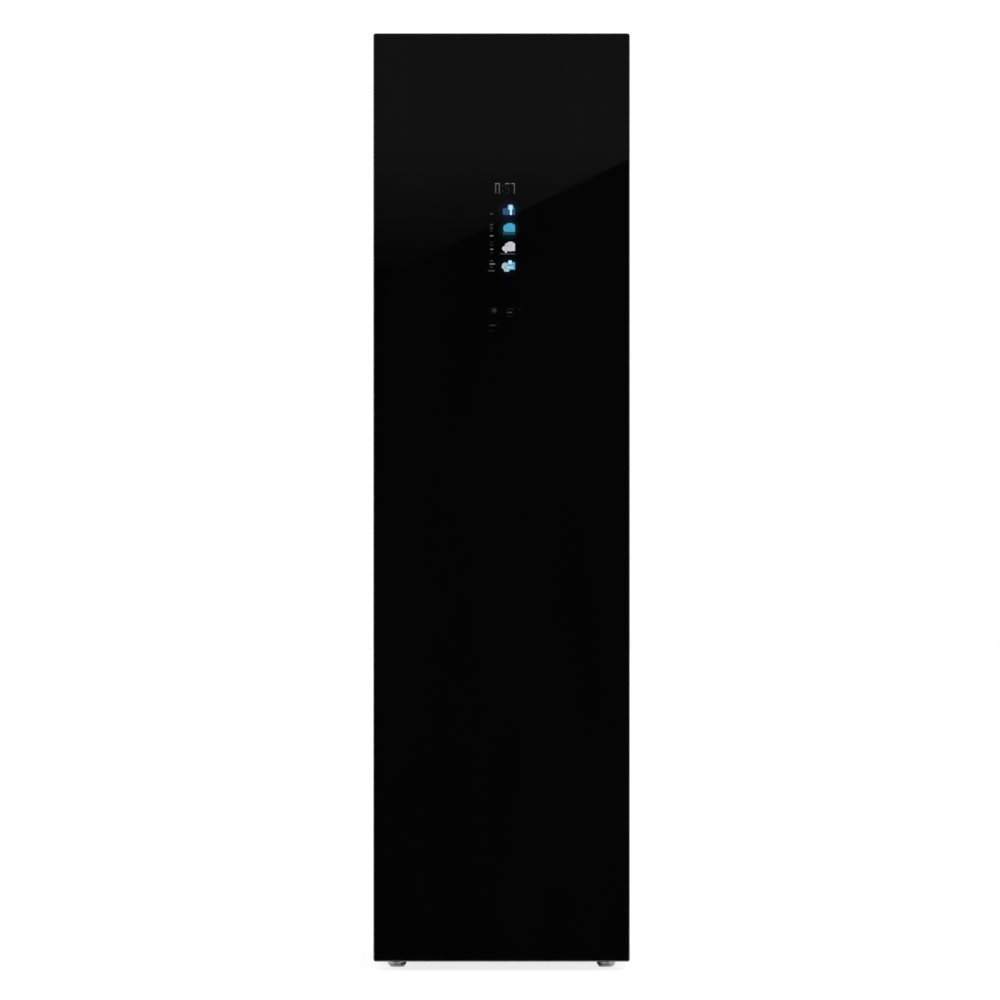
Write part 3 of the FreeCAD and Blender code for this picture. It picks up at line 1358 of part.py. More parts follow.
def lever_ears():
    """Ears on the press panel that hold the lever's pin, as low and high z pairs."""
    low = lever_z - lever_height / 2 - 6 - face_gap
    high = lever_z + lever_height / 2 + face_gap
    return [(low, low + 6), (high, high + 6)]


def press_panel():
    """Swinging board of the trouser press with its pivot pins and the lever's ears."""
    half = press_panel_thickness / 2
    board = box(press_left, press_axis_x, press_panel_y0, press_panel_y1, press_bottom, press_top)
    left = [e for e in edges_along(board, Y_AXIS) if abs(e.CenterOfMass.x - press_left) < 0.01]
    board = board.makeFillet(10.0, left)
    knuckle = rod(half, (press_axis_x, press_axis_y, press_bottom), Z_AXIS, press_height)
    pins = rod(press_pin_radius, (press_axis_x, press_axis_y, press_bottom - press_ear), Z_AXIS,
               press_height + 2 * press_ear)
    ears = [box(lever_axis_x - 4, lever_axis_x + 4, press_panel_y1 - 1, lever_axis_y + 4, z0, z1)
            for z0, z1 in lever_ears()]
    bore = rod(lever_pin_radius + pin_gap, (lever_axis_x, lever_axis_y, lever_ears()[0][0] - 1), Z_AXIS,
               lever_height + 20)
    ears = [ear.cut(bore) for ear in ears]
    flutes = []
    for i in range(2):
        x = press_left + 70 + i * 120
        flutes.append(rounded(x, x + 60, press_panel_y1 - 1.5, press_panel_y1 + 1,
                              press_bottom + 40, press_top - 40, 12.0, Y_AXIS))
    return fuse([cut(fuse([board, knuckle, pins]), flutes)] + ears)


def press_lever():
    """Pull lever on the press panel."""
    z0, z1 = lever_z - lever_height / 2, lever_z + lever_height / 2
    plate = rounded(lever_x0, lever_axis_x, lever_y0, lever_y0 + lever_thickness, z0, z1, 2.5, Z_AXIS)
    knuckle = rod(lever_thickness / 2, (lever_axis_x, lever_axis_y, z0), Z_AXIS, lever_height)
    pin = rod(lever_pin_radius, (lever_axis_x, lever_axis_y, z0 - 5), Z_AXIS, lever_height + 10)
    scoop = rod(14, (lever_x0 + 12, lever_y0 + lever_thickness + 9, z0 + 10), Z_AXIS, lever_height - 20)
    return cut(fuse([plate, knuckle, pin]), [scoop])


# ---------------------------------------------------------------- files
NODES = {
    "side_panel_right": side_panel,
    "side_panel_left": lambda: mirrored(side_panel()),
    "top_panel": top_panel,
    "rear_panel": rear_panel,
    "base_pan": base_pan,
    "insulation": insulation,
    "cabin_liner": cabin_liner,
    "cabin_floor": cabin_floor,
    "lower_fascia": lower_fascia,
    "ceiling_cover": ceiling_cover,
    "cabin_lamp": cabin_lamp,
    "air_grille": air_grille,
    "cabinet_screws": cabinet_screws,
    "hinge_bracket_top": hinge_bracket_top,
    "hinge_bracket_bottom": hinge_bracket_bottom,
    "hinge_cover_top": hinge_cover_top,
    "foot_sockets": foot_sockets,
    "air_duct": air_duct,
    "evaporator": lambda: coil(*evaporator_y),
    "condenser": lambda: coil(*condenser_y),
    "refrigerant_pipes": refrigerant_pipes,
    "fan_wheel": fan_wheel,
    "fan_motor": fan_motor,
    "compressor": compressor,
    "compressor_grommets": compressor_grommets,
    "steam_generator": steam_generator,
    "steam_hose": steam_hose,
    "feed_pump": feed_pump,
    "control_case": control_case,
    "cord_gland": cord_gland,
    "shaker_motor": shaker_motor,
    "rail_bearings": rail_bearings,
    "crank": crank,
    "hanger_rail": hanger_rail,
    "hanger_left": lambda: hanger(stations[0]),
    "hanger_middle": lambda: hanger(stations[1]),
    "hanger_right": lambda: hanger(stations[2]),
    "supply_tank": lambda: tank_shell(-1),
    "supply_tank_lid": lambda: tank_lid(-1),
    "supply_tank_handle": lambda: tank_handle(-1),
    "drain_tank": lambda: tank_shell(1),
    "drain_tank_lid": lambda: tank_lid(1),
    "drain_tank_handle": lambda: tank_handle(1),
    "lint_filter": lint_filter,
    "aroma_cartridge": aroma_cartridge,
    "shelf": shelf,
    "door_glass": door_glass,
    "door_frame": door_frame,
    "door_grip": door_grip,
    "door_liner": door_liner,
    "door_gasket": door_gasket,
    "display_board": display_board,
    "door_hinge_bushes": door_hinge_bushes,
    "press_base": press_base,
    "press_panel": press_panel,
    "press_lever": press_lever,
    "foot_front_left": lambda: levelling_foot(*foot_places()[0]),
    "foot_front_right": lambda: levelling_foot(*foot_places()[1]),
    "foot_rear_left": lambda: levelling_foot(*foot_places()[2]),
    "foot_rear_right": lambda: levelling_foot(*foot_places()[3]),
}


def main():
    """Build every sub-part and write one file for each."""
    os.makedirs("parts", exist_ok=True)
    for name, make in NODES.items():
        shape = make()
        shape.exportStep("parts/" + name + ".step")
        print(f"{name:22s} solids {len(shape.Solids)}  volume {shape.Volume / 1000:10.1f} cm3"
              f"  valid {shape.isValid()}")


main()
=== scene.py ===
"""Looks of a clothes care steam cabinet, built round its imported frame.

Metres, in the frame's own space: +Z is up, the door faces -Y and its hinges are on the +X side.
Finishes come first, then the shapes, then one class for each sub-assembly, and the studio last.
"""

import json
import logging
import math
from collections.abc import Iterable, Sequence
from dataclasses import dataclass, field
from enum import Enum

import bmesh
import bpy
from mathutils import Matrix, Vector

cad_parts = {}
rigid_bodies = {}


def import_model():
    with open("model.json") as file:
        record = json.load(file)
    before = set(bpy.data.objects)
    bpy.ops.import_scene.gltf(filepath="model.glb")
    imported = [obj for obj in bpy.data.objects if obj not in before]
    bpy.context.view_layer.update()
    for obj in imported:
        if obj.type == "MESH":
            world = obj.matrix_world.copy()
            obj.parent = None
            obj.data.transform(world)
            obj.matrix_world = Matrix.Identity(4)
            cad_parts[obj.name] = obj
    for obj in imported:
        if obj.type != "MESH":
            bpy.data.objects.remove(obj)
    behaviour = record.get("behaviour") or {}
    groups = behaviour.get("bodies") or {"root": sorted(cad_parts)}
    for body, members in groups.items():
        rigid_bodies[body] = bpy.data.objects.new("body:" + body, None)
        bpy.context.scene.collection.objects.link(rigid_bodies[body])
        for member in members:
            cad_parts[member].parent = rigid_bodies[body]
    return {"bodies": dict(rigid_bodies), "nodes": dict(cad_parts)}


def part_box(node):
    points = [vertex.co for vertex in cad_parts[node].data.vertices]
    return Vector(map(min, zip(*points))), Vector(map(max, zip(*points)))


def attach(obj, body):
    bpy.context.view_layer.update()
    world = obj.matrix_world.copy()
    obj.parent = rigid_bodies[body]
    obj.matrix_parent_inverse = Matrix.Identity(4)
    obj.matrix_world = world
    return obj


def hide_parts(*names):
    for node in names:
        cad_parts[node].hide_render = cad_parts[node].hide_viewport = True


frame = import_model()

LOG = logging.getLogger("steam_cabinet")
MM = 0.001
NOISE_SPREAD = (0.3, 0.7)  # most of a noise's values lie between these

Colour = tuple[float, float, float]
Point = tuple[float, float, float]
Socket = bpy.types.NodeSocket


class Axis(Enum):
    """A direction of the frame."""

    X = 0
    Y = 1
    Z = 2

    @property
    def vector(self) -> Vector:
        """The unit vector along this axis."""
        return Vector([1.0 if i == self.value else 0.0 for i in range(3)])


class Side(Enum):
    """One of the two sides of the cabinet, as seen from the front."""

    LEFT = -1
    RIGHT = 1


class Body(Enum):
    """The bodies that new pieces ride on."""

    CABINET = "cabinet"
    DOOR = "door"
    SUPPLY_TANK = "supply_tank_body"
    DRAIN_TANK = "drain_tank_body"


# ---------------------------------------------------------------- material nodes
class Nodes:
    """The nodes of a tree, and the steps that materials and the world share."""

    def __init__(self, tree: bpy.types.NodeTree) -> None:
        """Start with an empty tree."""
        self.tree = tree
        self.tree.nodes.clear()

    def add(self, kind: str, **settings: object) -> bpy.types.Node:
        """Add a node.

        Args:
            kind: the node's type.
            settings: properties of the node.

        Returns:
            The new node.
        """
        node = self.tree.nodes.new(kind)
        for key, value in settings.items():
            setattr(node, key, value)
        return node

    def join(self, source: Socket, target: Socket) -> None:
        """Link two sockets."""
        self.tree.links.new(source, target)

    def give(self, target: Socket, value: object) -> None:
        """Give a socket a link, or a value of its own.

        Args:
            target: the socket that takes it.
            value: an output socket, a colour or a number.
        """
        if isinstance(value, Socket):
            self.join(value, target)
        elif isinstance(value, (tuple, list)) and len(target.default_value) == 4:
            target.default_value = (*value[:3], 1.0)
        else:
            target.default_value = value

    def level(self, value: Socket, low: float, high: float, first: float = 0.0, last: float = 1.0,
              ramp: str = "SMOOTHSTEP") -> Socket:
        """Stretch a range of a value onto another range, held at its ends.

        Args:
            value: what is read.
            low: the value that gives first.
            high: the value that gives last.
            first: result at the low end.
            last: result at the high end.
            ramp: the node's interpolation.

        Returns:
            The stretched value.
        """
        node = self.add("ShaderNodeMapRange", interpolation_type=ramp)
        self.join(value, node.inputs["Value"])
        for key, number in (("From Min", low), ("From Max", high), ("To Min", first), ("To Max", last)):
            node.inputs[key].default_value = number
        return node.outputs["Result"]

    def sum(self, kind: str, *values: object) -> Socket:
        """Work something out from two or three values.

        Args:
            kind: the Math node's operation.
            values: sockets or numbers.

        Returns:
            The result.
        """
        node = self.add("ShaderNodeMath", operation=kind)
        for target, value in zip(node.inputs, values):
            self.give(target, value)
        return node.outputs["Value"]

    def mix(self, share: Socket, first: object, second: object) -> Socket:
        """Mix two numbers.

        Args:
            share: how much of the second there is.
            first: a number or socket.
            second: a number or socket.

        Returns:
            The mixed number.
        """
        node = self.add("ShaderNodeMix")
        for target, value in zip((node.inputs[0], node.inputs[2], node.inputs[3]), (share, first, second)):
            self.give(target, value)
        return node.outputs[0]

    def blend(self, share: Socket, first: object, second: object, kind: str = "MIX") -> Socket:
        """Mix two colours.

        Args:
            share: how much of the second there is.
            first: a colour or socket.
            second: a colour or socket.
            kind: the node's way of mixing.

        Returns:
            The mixed colour.
        """
        node = self.add("ShaderNodeMix", data_type="RGBA", blend_type=kind)
        for target, value in zip((node.inputs[0], node.inputs[6], node.inputs[7]), (share, first, second)):
            self.give(target, value)
        return node.outputs[2]


class Recipe(Nodes):
    """The nodes of one material, on object coordinates."""

    def __init__(self, name: str) -> None:
        """Start a material with an empty principled shader.

        Args:
            name: the material's name.
        """
        self.material = bpy.data.materials.new(name)
        self.material.use_nodes = True
        super().__init__(self.material.node_tree)
        self.output = self.add("ShaderNodeOutputMaterial")
        self.shader = self.add("ShaderNodeBsdfPrincipled")
        self.join(self.shader.outputs["BSDF"], self.output.inputs["Surface"])
        self.object_place = self.add("ShaderNodeTexCoord").outputs["Object"]

    def place(self, scale: Point = (1, 1, 1), offset: Point = (0, 0, 0), turn: Point = (0, 0, 0)) -> Socket:
        """Object coordinates, stretched, moved and turned.

        Args:
            scale: factor along each axis.
            offset: added after the scale, in metres.
            turn: rotation in radians.

        Returns:
            The mapped coordinates.
        """
        mapping = self.add("ShaderNodeMapping")
        self.join(self.object_place, mapping.inputs["Vector"])
        mapping.inputs["Scale"].default_value = scale
        mapping.inputs["Location"].default_value = offset
        mapping.inputs["Rotation"].default_value = turn
        return mapping.outputs["Vector"]

    def noise(self, scale: float, detail: float = 3.0, stretch: Point = (1, 1, 1)) -> Socket:
        """Cloudy noise on object coordinates.

        Args:
            scale: waves in a metre.
            detail: octaves.
            stretch: factor along each axis, below 1 for a long grain.

        Returns:
            The noise, around 0.5.
        """
        node = self.add("ShaderNodeTexNoise")
        self.join(self.place(stretch), node.inputs["Vector"])
        node.inputs["Scale"].default_value = scale
        node.inputs["Detail"].default_value = detail
        return node.outputs["Fac"]

    def cells(self, scale: float, output: str = "Distance") -> Socket:
        """Voronoi cells on object coordinates.

        Args:
            scale: cells in a metre.
            output: the node's output that is used.

        Returns:
            The chosen output.
        """
        node = self.add("ShaderNodeTexVoronoi", feature="F1")
        self.join(self.object_place, node.inputs["Vector"])
        node.inputs["Scale"].default_value = scale
        return node.outputs[output]

    def bars(self, axis: Axis, pitch: float) -> Socket:
        """Even bars across an axis.

        Args:
            axis: the direction that the bars follow one another in.
            pitch: from bar to bar, in metres.

        Returns:
            A wave from 0 to 1.
        """
        node = self.add("ShaderNodeTexWave", wave_type="BANDS", bands_direction=axis.name)
        self.join(self.object_place, node.inputs["Vector"])
        node.inputs["Scale"].default_value = math.pi / (10 * pitch)
        return node.outputs["Fac"]

    def part(self, axis: Axis) -> Socket:
        """One component of the object coordinates.

        Args:
            axis: which one.

        Returns:
            The component, in metres.
        """
        split = self.add("ShaderNodeSeparateXYZ")
        self.join(self.object_place, split.inputs[0])
        return split.outputs[axis.value]

    def soft_edges(self, radius: float) -> Socket:
        """Shade edges as if they were rounded.

        Args:
            radius: of the rounding, in metres.

        Returns:
            The rounded normal.
        """
        node = self.add("ShaderNodeBevel", samples=4)
        node.inputs["Radius"].default_value = radius
        return node.outputs["Normal"]

    def edge_mask(self, normal: Socket, breakup: Socket) -> Socket:
        """Where edges are rubbed.

        Args:
            normal: the rounded normal.
            breakup: a noise that interrupts the wear.

        Returns:
            A mask, 1 on a worn edge.
        """
        flat = self.add("ShaderNodeNewGeometry").outputs["True Normal"]
        dot = self.add("ShaderNodeVectorMath", operation="DOT_PRODUCT")
        self.join(normal, dot.inputs[0])
        self.join(flat, dot.inputs[1])
        edge = self.level(dot.outputs["Value"], 0.97, 0.80)
        return self.sum("MULTIPLY", edge, self.level(breakup, 0.42, 0.62))

    def bump(self, height: Socket, distance: float, normal: Socket | None = None) -> Socket:
        """Relief from a height.

        Args:
            height: from 0 to 1.
            distance: what a height of 1 stands for, in metres.
            normal: a normal that the relief is laid on.

        Returns:
            The bumped normal.
        """
        node = self.add("ShaderNodeBump")
        node.inputs["Distance"].default_value = distance
        self.join(height, node.inputs["Height"])
        if normal is not None:
            self.join(normal, node.inputs["Normal"])
        return node.outputs["Normal"]

    def shade(self, **sockets: object) -> None:
        """Set sockets of the principled shader.

        Args:
            sockets: the socket's name with underscores for spaces, and its link or value.
        """
        for key, value in sockets.items():
            self.give(self.shader.inputs[key.replace("_", " ")], value)


def tint(colour: Colour, factor: float) -> Colour:
    """A colour made lighter or darker.

    Args:
        colour: linear red, green and blue.
        factor: what each is multiplied by.

    Returns:
        The new colour, held between 0 and 1.
    """
    red, green, blue = (min(1.0, max(0.0, part * factor)) for part in colour)
    return red, green, blue


# ---------------------------------------------------------------- finishes
@dataclass(frozen=True)
class Finish:
    """A surface finish, made into a material once and then shared."""

    name: str
    colour: Colour

    def material(self) -> bpy.types.Material:
        """Make this finish's material, or find it where it is made already.

        Returns:
            The material.
        """
        made = bpy.data.materials.get(self.name)
        if made is None:
            recipe = Recipe(self.name)
            self.lay(recipe)
            recipe.material.diffuse_color = (*self.colour, 1.0)
            made = recipe.material
        return made

    def lay(self, recipe: Recipe) -> None:
        """Lay the finish's nodes."""
        raise NotImplementedError

    def tones(self, recipe: Recipe, value: Socket, dark: float, light: float, low: float = 0.35,
              high: float = 0.65) -> Socket:
        """Two tones of the colour, from dark where the value is low to light where it is high."""
        return recipe.blend(recipe.level(value, low, high), tint(self.colour, dark), tint(self.colour, light))

    def over(self, recipe: Recipe, tone: object, share: Socket, factor: float) -> Socket:
        """Another tone of the colour, laid over the first by a share."""
        return recipe.blend(share, tone, tint(self.colour, factor))

    def rubbed(self, recipe: Recipe, tone: Socket, edges: Socket, patches: Socket, factor: float) -> Socket:
        """The tone with its edges rubbed lighter, in patches."""
        return self.over(recipe, tone, recipe.edge_mask(edges, patches), factor)


@dataclass(frozen=True)
class PaintedSteel(Finish):
    """Powder coat with its orange peel, a fine speckle and rubbed edges."""

    roughness: float = 0.42
    peel: float = 0.00006
    rounding: float = 0.0009
    wear: float = 1.9

    def lay(self, recipe: Recipe) -> None:
        """Lay a fine peel over a slow change of tone.

        Args:
            recipe: the material in the making.
        """
        slow = recipe.noise(5.0, 4.0)
        speckle = recipe.noise(1400.0, 1.0)
        edges = recipe.soft_edges(self.rounding)
        tone = self.tones(recipe, slow, 0.955, 1.045)
        tone = self.over(recipe, tone, recipe.level(speckle, 0.55, 0.72, 0.0, 0.5), 1.5)
        tone = self.rubbed(recipe, tone, edges, recipe.noise(60.0, 4.0), self.wear)
        rough = recipe.level(slow, *NOISE_SPREAD, self.roughness - 0.025, self.roughness + 0.03)
        height = recipe.sum("ADD", recipe.noise(420.0, 2.0), recipe.sum("MULTIPLY", speckle, 0.5))
        recipe.shade(Base_Color=tone, Roughness=rough, Normal=recipe.bump(height, self.peel, edges))


@dataclass(frozen=True)
class ZincSteel(Finish):
    """Zinc-coated sheet with its spangle and faint rolling marks."""

    spangle: float = 120.0
    relief: float = 0.00002
    rounding: float = 0.0006

    def lay(self, recipe: Recipe) -> None:
        """Lay small crystals of nearly the same brightness under rolling marks.

        Args:
            recipe: the material in the making.
        """
        grey = recipe.add("ShaderNodeRGBToBW")
        recipe.join(recipe.cells(self.spangle, output="Color"), grey.inputs[0])
        shine = grey.outputs[0]
        marks = recipe.noise(700.0, 3.0, (1.0, 1.0, 0.015))
        cloudy = recipe.noise(3.0, 4.0)
        edges = recipe.soft_edges(self.rounding)
        tone = self.tones(recipe, shine, 0.93, 1.06, 0.1, 0.9)
        tone = self.over(recipe, tone, recipe.level(cloudy, 0.5, 0.8, 0.0, 0.3), 0.82)
        rough = recipe.sum("ADD", recipe.level(shine, 0.0, 1.0, 0.31, 0.40),
                           recipe.level(marks, *NOISE_SPREAD, 0.0, 0.10))
        recipe.shade(Base_Color=tone, Metallic=0.85, Roughness=rough,
                     Normal=recipe.bump(marks, self.relief, edges))


@dataclass(frozen=True)
class BrushedMetal(Finish):
    """Metal with a grain along one direction and brightened edges."""

    roughness: float = 0.32
    grain: Axis = Axis.Z
    metallic: float = 1.0
    relief: float = 0.000012
    rounding: float = 0.0006

    def lay(self, recipe: Recipe) -> None:
        """Lay long fine lines along the grain.

        Args:
            recipe: the material in the making.
        """
        stretch = tuple(0.01 if axis is self.grain else 1.0 for axis in Axis)
        lines = recipe.noise(1600.0, 3.0, stretch)
        edges = recipe.soft_edges(self.rounding)
        tone = self.tones(recipe, lines, 0.86, 1.12, *NOISE_SPREAD)
        tone = self.rubbed(recipe, tone, edges, recipe.noise(90.0, 3.0), 1.6)
        rough = recipe.level(lines, 0.25, 0.75, self.roughness - 0.06, self.roughness + 0.08)
        recipe.shade(Base_Color=tone, Metallic=self.metallic, Roughness=rough,
                     Normal=recipe.bump(lines, self.relief, edges))


@dataclass(frozen=True)
class MouldedPlastic(Finish):
    """Moulded plastic with an eroded grain, flow marks and softly rounded edges."""

    roughness: float = 0.45
    grain: float = 0.00003
    grain_scale: float = 1500.0
    rounding: float = 0.0010
    coat: float = 0.0

    def lay(self, recipe: Recipe) -> None:
        """Lay a fine pebble grain, with painted shade in its dimples, over slow flow marks.

        Args:
            recipe: the material in the making.
        """
        flow = recipe.noise(7.0, 3.0, (1.0, 1.0, 0.4))
        pebble = recipe.cells(self.grain_scale)
        edges = recipe.soft_edges(self.rounding)
        tone = self.tones(recipe, flow, 0.965, 1.03)
        # Painted shade: each dimple of the grain is drawn darker towards its sunken middle.
        tone = self.over(recipe, tone, recipe.level(pebble, 0.0, 0.35, 0.12, 0.0), 0.80)
        tone = self.rubbed(recipe, tone, edges, recipe.noise(70.0, 3.0), 1.25)
        rough = recipe.level(flow, *NOISE_SPREAD, self.roughness - 0.05, self.roughness + 0.05)
        recipe.shade(Base_Color=tone, Roughness=rough, Coat_Weight=self.coat,
                     Normal=recipe.bump(pebble, self.grain, edges))


@dataclass(frozen=True)
class FlangedMoulding(MouldedPlastic):
    """Moulded plastic whose outer rim is the cabinet's painted front flange."""

    paint: Colour = (0.042, 0.042, 0.046)
    rim_x: float = 0.237
    rim_z: float = 1.821
    rim_edge: float = 0.0002

    def lay(self, recipe: Recipe) -> None:
        """Lay the plastic, then the paint on its rim.

        Args:
            recipe: the material in the making.
        """
        super().lay(recipe)
        aside = recipe.sum("ABSOLUTE", recipe.part(Axis.X), 0.0)
        rim = recipe.sum("MAXIMUM", recipe.level(aside, self.rim_x, self.rim_x + self.rim_edge),
                         recipe.level(recipe.part(Axis.Z), self.rim_z, self.rim_z + self.rim_edge))
        speckle = recipe.level(recipe.noise(1400.0, 1.0), 0.45, 0.72)
        painted = recipe.blend(speckle, tint(self.paint, 0.92), tint(self.paint, 1.3))
        moulded = recipe.shader.inputs["Base Color"].links[0].from_socket
        recipe.shade(Base_Color=recipe.blend(rim, moulded, painted))


@dataclass(frozen=True)
class Rubber(Finish):
    """Rubber or silicone: matt, with a faint bloom."""

    roughness: float = 0.72
    relief: float = 0.00003
    rounding: float = 0.0012

    def lay(self, recipe: Recipe) -> None:
        """Lay a pale bloom over fine moulding pores.

        Args:
            recipe: the material in the making.
        """
        bloom = recipe.noise(26.0, 4.0)
        pores = recipe.noise(1100.0, 2.0)
        edges = recipe.soft_edges(self.rounding)
        tone = self.tones(recipe, bloom, 0.96, 1.14, 0.4, 0.75)
        rough = recipe.level(pores, *NOISE_SPREAD, self.roughness - 0.06, self.roughness + 0.08)
        recipe.shade(Base_Color=tone, Roughness=rough, Sheen_Weight=0.15,
                     Normal=recipe.bump(pores, self.relief, edges))


@dataclass(frozen=True)
class RigidFoam(Finish):
    """Poured foam: closed cells, and a skin that is darker in places."""

    cell: float = 650.0
    relief: float = 0.0005

    def lay(self, recipe: Recipe) -> None:
        """Lay small cells, with painted shade in their middles, under a blotchy skin.

        Args:
            recipe: the material in the making.
        """
        cell = recipe.cells(self.cell)
        skin = recipe.noise(9.0, 5.0)
        tone = self.over(recipe, self.colour, recipe.level(skin, 0.4, 0.65), 0.78)
        # Painted shade: each cell is drawn darker towards its sunken middle.
        tone = self.over(recipe, tone, recipe.level(cell, 0.0, 0.4, 0.4, 0.0), 0.6)
        height = recipe.sum("ADD", cell, recipe.noise(45.0, 3.0))
        recipe.shade(Base_Color=tone, Roughness=0.85, Normal=recipe.bump(height, self.relief))


@dataclass(frozen=True)
class FinPack(Finish):
    """Thin aluminium fins side by side, with painted shade between them."""

    pitch: float = 0.0018
    relief: float = 0.0004

    def lay(self, recipe: Recipe) -> None:
        """Lay the fins across X.

        Args:
            recipe: the material in the making.
        """
        fins = recipe.bars(Axis.X, self.pitch)
        dents = recipe.noise(30.0, 4.0)
        # Painted shade: the gaps between the fins are drawn at 0.22 of the colour.
        tone = recipe.blend(recipe.level(fins, 0.15, 0.6), tint(self.colour, 0.22), self.colour)
        tone = self.over(recipe, tone, recipe.level(dents, 0.55, 0.8, 0.0, 0.5), 0.75)
        rough = recipe.level(dents, *NOISE_SPREAD, 0.30, 0.45)
        recipe.shade(Base_Color=tone, Metallic=0.9, Roughness=rough, Normal=recipe.bump(fins, self.relief))


@dataclass(frozen=True)
class CopperTube(Finish):
    """Drawn copper with brown tarnish and brighter brazed spots."""

    tarnish: Colour = (0.22, 0.10, 0.06)
    relief: float = 0.00002

    def lay(self, recipe: Recipe) -> None:
        """Lay patches of tarnish over drawing lines.

        Args:
            recipe: the material in the making.
        """
        patches = recipe.noise(38.0, 5.0)
        lines = recipe.noise(1200.0, 2.0, (1.0, 1.0, 0.05))
        tone = recipe.blend(recipe.level(patches, 0.45, 0.68), self.colour, self.tarnish)
        rough = recipe.level(patches, 0.4, 0.7, 0.24, 0.5)
        recipe.shade(Base_Color=tone, Metallic=1.0, Roughness=rough, Normal=recipe.bump(lines, self.relief))


@dataclass(frozen=True)
class CastMetal(Finish):
    """Die-cast metal with a sandy skin."""

    roughness: float = 0.5
    relief: float = 0.0001
    rounding: float = 0.0012

    def lay(self, recipe: Recipe) -> None:
        """Lay a sandy skin and machined-bright edges.

        Args:
            recipe: the material in the making.
        """
        sand = recipe.noise(700.0, 3.0)
        edges = recipe.soft_edges(self.rounding)
        tone = self.tones(recipe, sand, 0.8, 1.08, 0.35, 0.7)
        tone = self.rubbed(recipe, tone, edges, recipe.noise(60.0, 3.0), 1.3)
        rough = recipe.level(sand, *NOISE_SPREAD, self.roughness - 0.08, self.roughness + 0.1)
        recipe.shade(Base_Color=tone, Metallic=0.9, Roughness=rough,
                     Normal=recipe.bump(sand, self.relief, edges))


@dataclass(frozen=True)
class ClearMoulding(Finish):
    """Frosted see-through plastic, as water tanks have."""

    frost: float = 0.22
    clearness: float = 0.82
    index: float = 1.49
    relief: float = 0.00002
    rounding: float = 0.0012

    def lay(self, recipe: Recipe) -> None:
        """Lay an uneven frosting over a tinted clear body.

        Args:
            recipe: the material in the making.
        """
        flow = recipe.noise(14.0, 3.0, (1.0, 1.0, 0.3))
        frosting = recipe.noise(900.0, 2.0)
        edges = recipe.soft_edges(self.rounding)
        tone = self.tones(recipe, flow, 0.93, 1.05)
        rough = recipe.level(flow, *NOISE_SPREAD, self.frost - 0.05, self.frost + 0.08)
        recipe.shade(Base_Color=tone, Roughness=rough, Transmission_Weight=self.clearness, IOR=self.index,
                     Normal=recipe.bump(frosting, self.relief, edges))


@dataclass(frozen=True)
class Water(Finish):
    """Still water, with a few fine bubbles on the walls."""

    index: float = 1.333
    swell: float = 0.00008

    def lay(self, recipe: Recipe) -> None:
        """Lay a slow swell and small bubbles.

        Args:
            recipe: the material in the making.
        """
        bubbles = recipe.cells(160.0)
        tone = recipe.blend(recipe.level(bubbles, 0.0, 0.16, 0.5, 0.0), self.colour, (1.0, 1.0, 1.0))
        recipe.shade(Base_Color=tone, Roughness=0.02, Transmission_Weight=0.95, IOR=self.index,
                     Normal=recipe.bump(recipe.noise(12.0, 1.0), self.swell))


@dataclass(frozen=True)
class FilterScreen(Finish):
    """A dark moulded frame round a fine woven screen at its middle plane."""

    screen_y: float = -0.070
    screen_half: float = 0.0008
    floor_z: float = 0.395
    mesh_pitch: float = 0.0016
    relief: float = 0.0003
    rounding: float = 0.0008

    def lay(self, recipe: Recipe) -> None:
        """Lay the weave where the node is thin, with its openings painted dark as shade, and plastic elsewhere.

        Args:
            recipe: the material in the making.
        """
        away = recipe.sum("ABSOLUTE", recipe.sum("SUBTRACT", recipe.part(Axis.Y), self.screen_y), 0.0)
        thin = recipe.level(away, self.screen_half, self.screen_half * 1.2, 1.0, 0.0)
        low = recipe.level(recipe.part(Axis.Z), self.floor_z - 0.010, self.floor_z - 0.009, 1.0, 0.0)
        on_screen = recipe.sum("MULTIPLY", thin, low)
        weave = recipe.sum("MAXIMUM", recipe.bars(Axis.X, self.mesh_pitch), recipe.bars(Axis.Z, self.mesh_pitch))
        lint = recipe.noise(55.0, 5.0)
        # Painted shade: the weave's openings are drawn near black instead of being holes; the wires are grey.
        mesh = recipe.blend(recipe.level(weave, 0.4, 0.85), (0.02, 0.02, 0.02), (0.30, 0.30, 0.31))
        mesh = recipe.blend(recipe.level(lint, 0.5, 0.75, 0.0, 0.4), mesh, (0.42, 0.42, 0.44))
        body = self.tones(recipe, lint, 0.92, 1.06)
        height = recipe.sum("MULTIPLY", weave, on_screen)
        rough = recipe.level(lint, *NOISE_SPREAD, 0.42, 0.58)
        recipe.shade(Base_Color=recipe.blend(on_screen, body, mesh), Roughness=rough,
                     Normal=recipe.bump(height, self.relief, recipe.soft_edges(self.rounding)))


@dataclass(frozen=True)
class Felt(Finish):
    """Dense felt with loose fibres, and quilting lines with painted shade in their grooves."""

    quilt: float = 0.060
    relief: float = 0.0002

    def lay(self, recipe: Recipe) -> None:
        """Lay fibres and a shallow quilt.

        Args:
            recipe: the material in the making.
        """
        fibre = recipe.noise(900.0, 5.0, (1.0, 1.0, 0.25))
        lines = recipe.sum("MINIMUM", recipe.bars(Axis.X, self.quilt), recipe.bars(Axis.Z, self.quilt))
        dip = recipe.level(lines, 0.0, 0.02)
        tone = self.tones(recipe, fibre, 0.8, 1.15, 0.35, 0.7)
        # Painted shade: the quilting grooves are drawn at 0.80 of the colour.
        tone = recipe.blend(dip, tint(self.colour, 0.80), tone)
        height = recipe.sum("ADD", fibre, recipe.sum("MULTIPLY", dip, 3.0))
        recipe.shade(Base_Color=tone, Roughness=0.92, Sheen_Weight=0.5, Sheen_Roughness=0.4,
                     Normal=recipe.bump(height, self.relief))


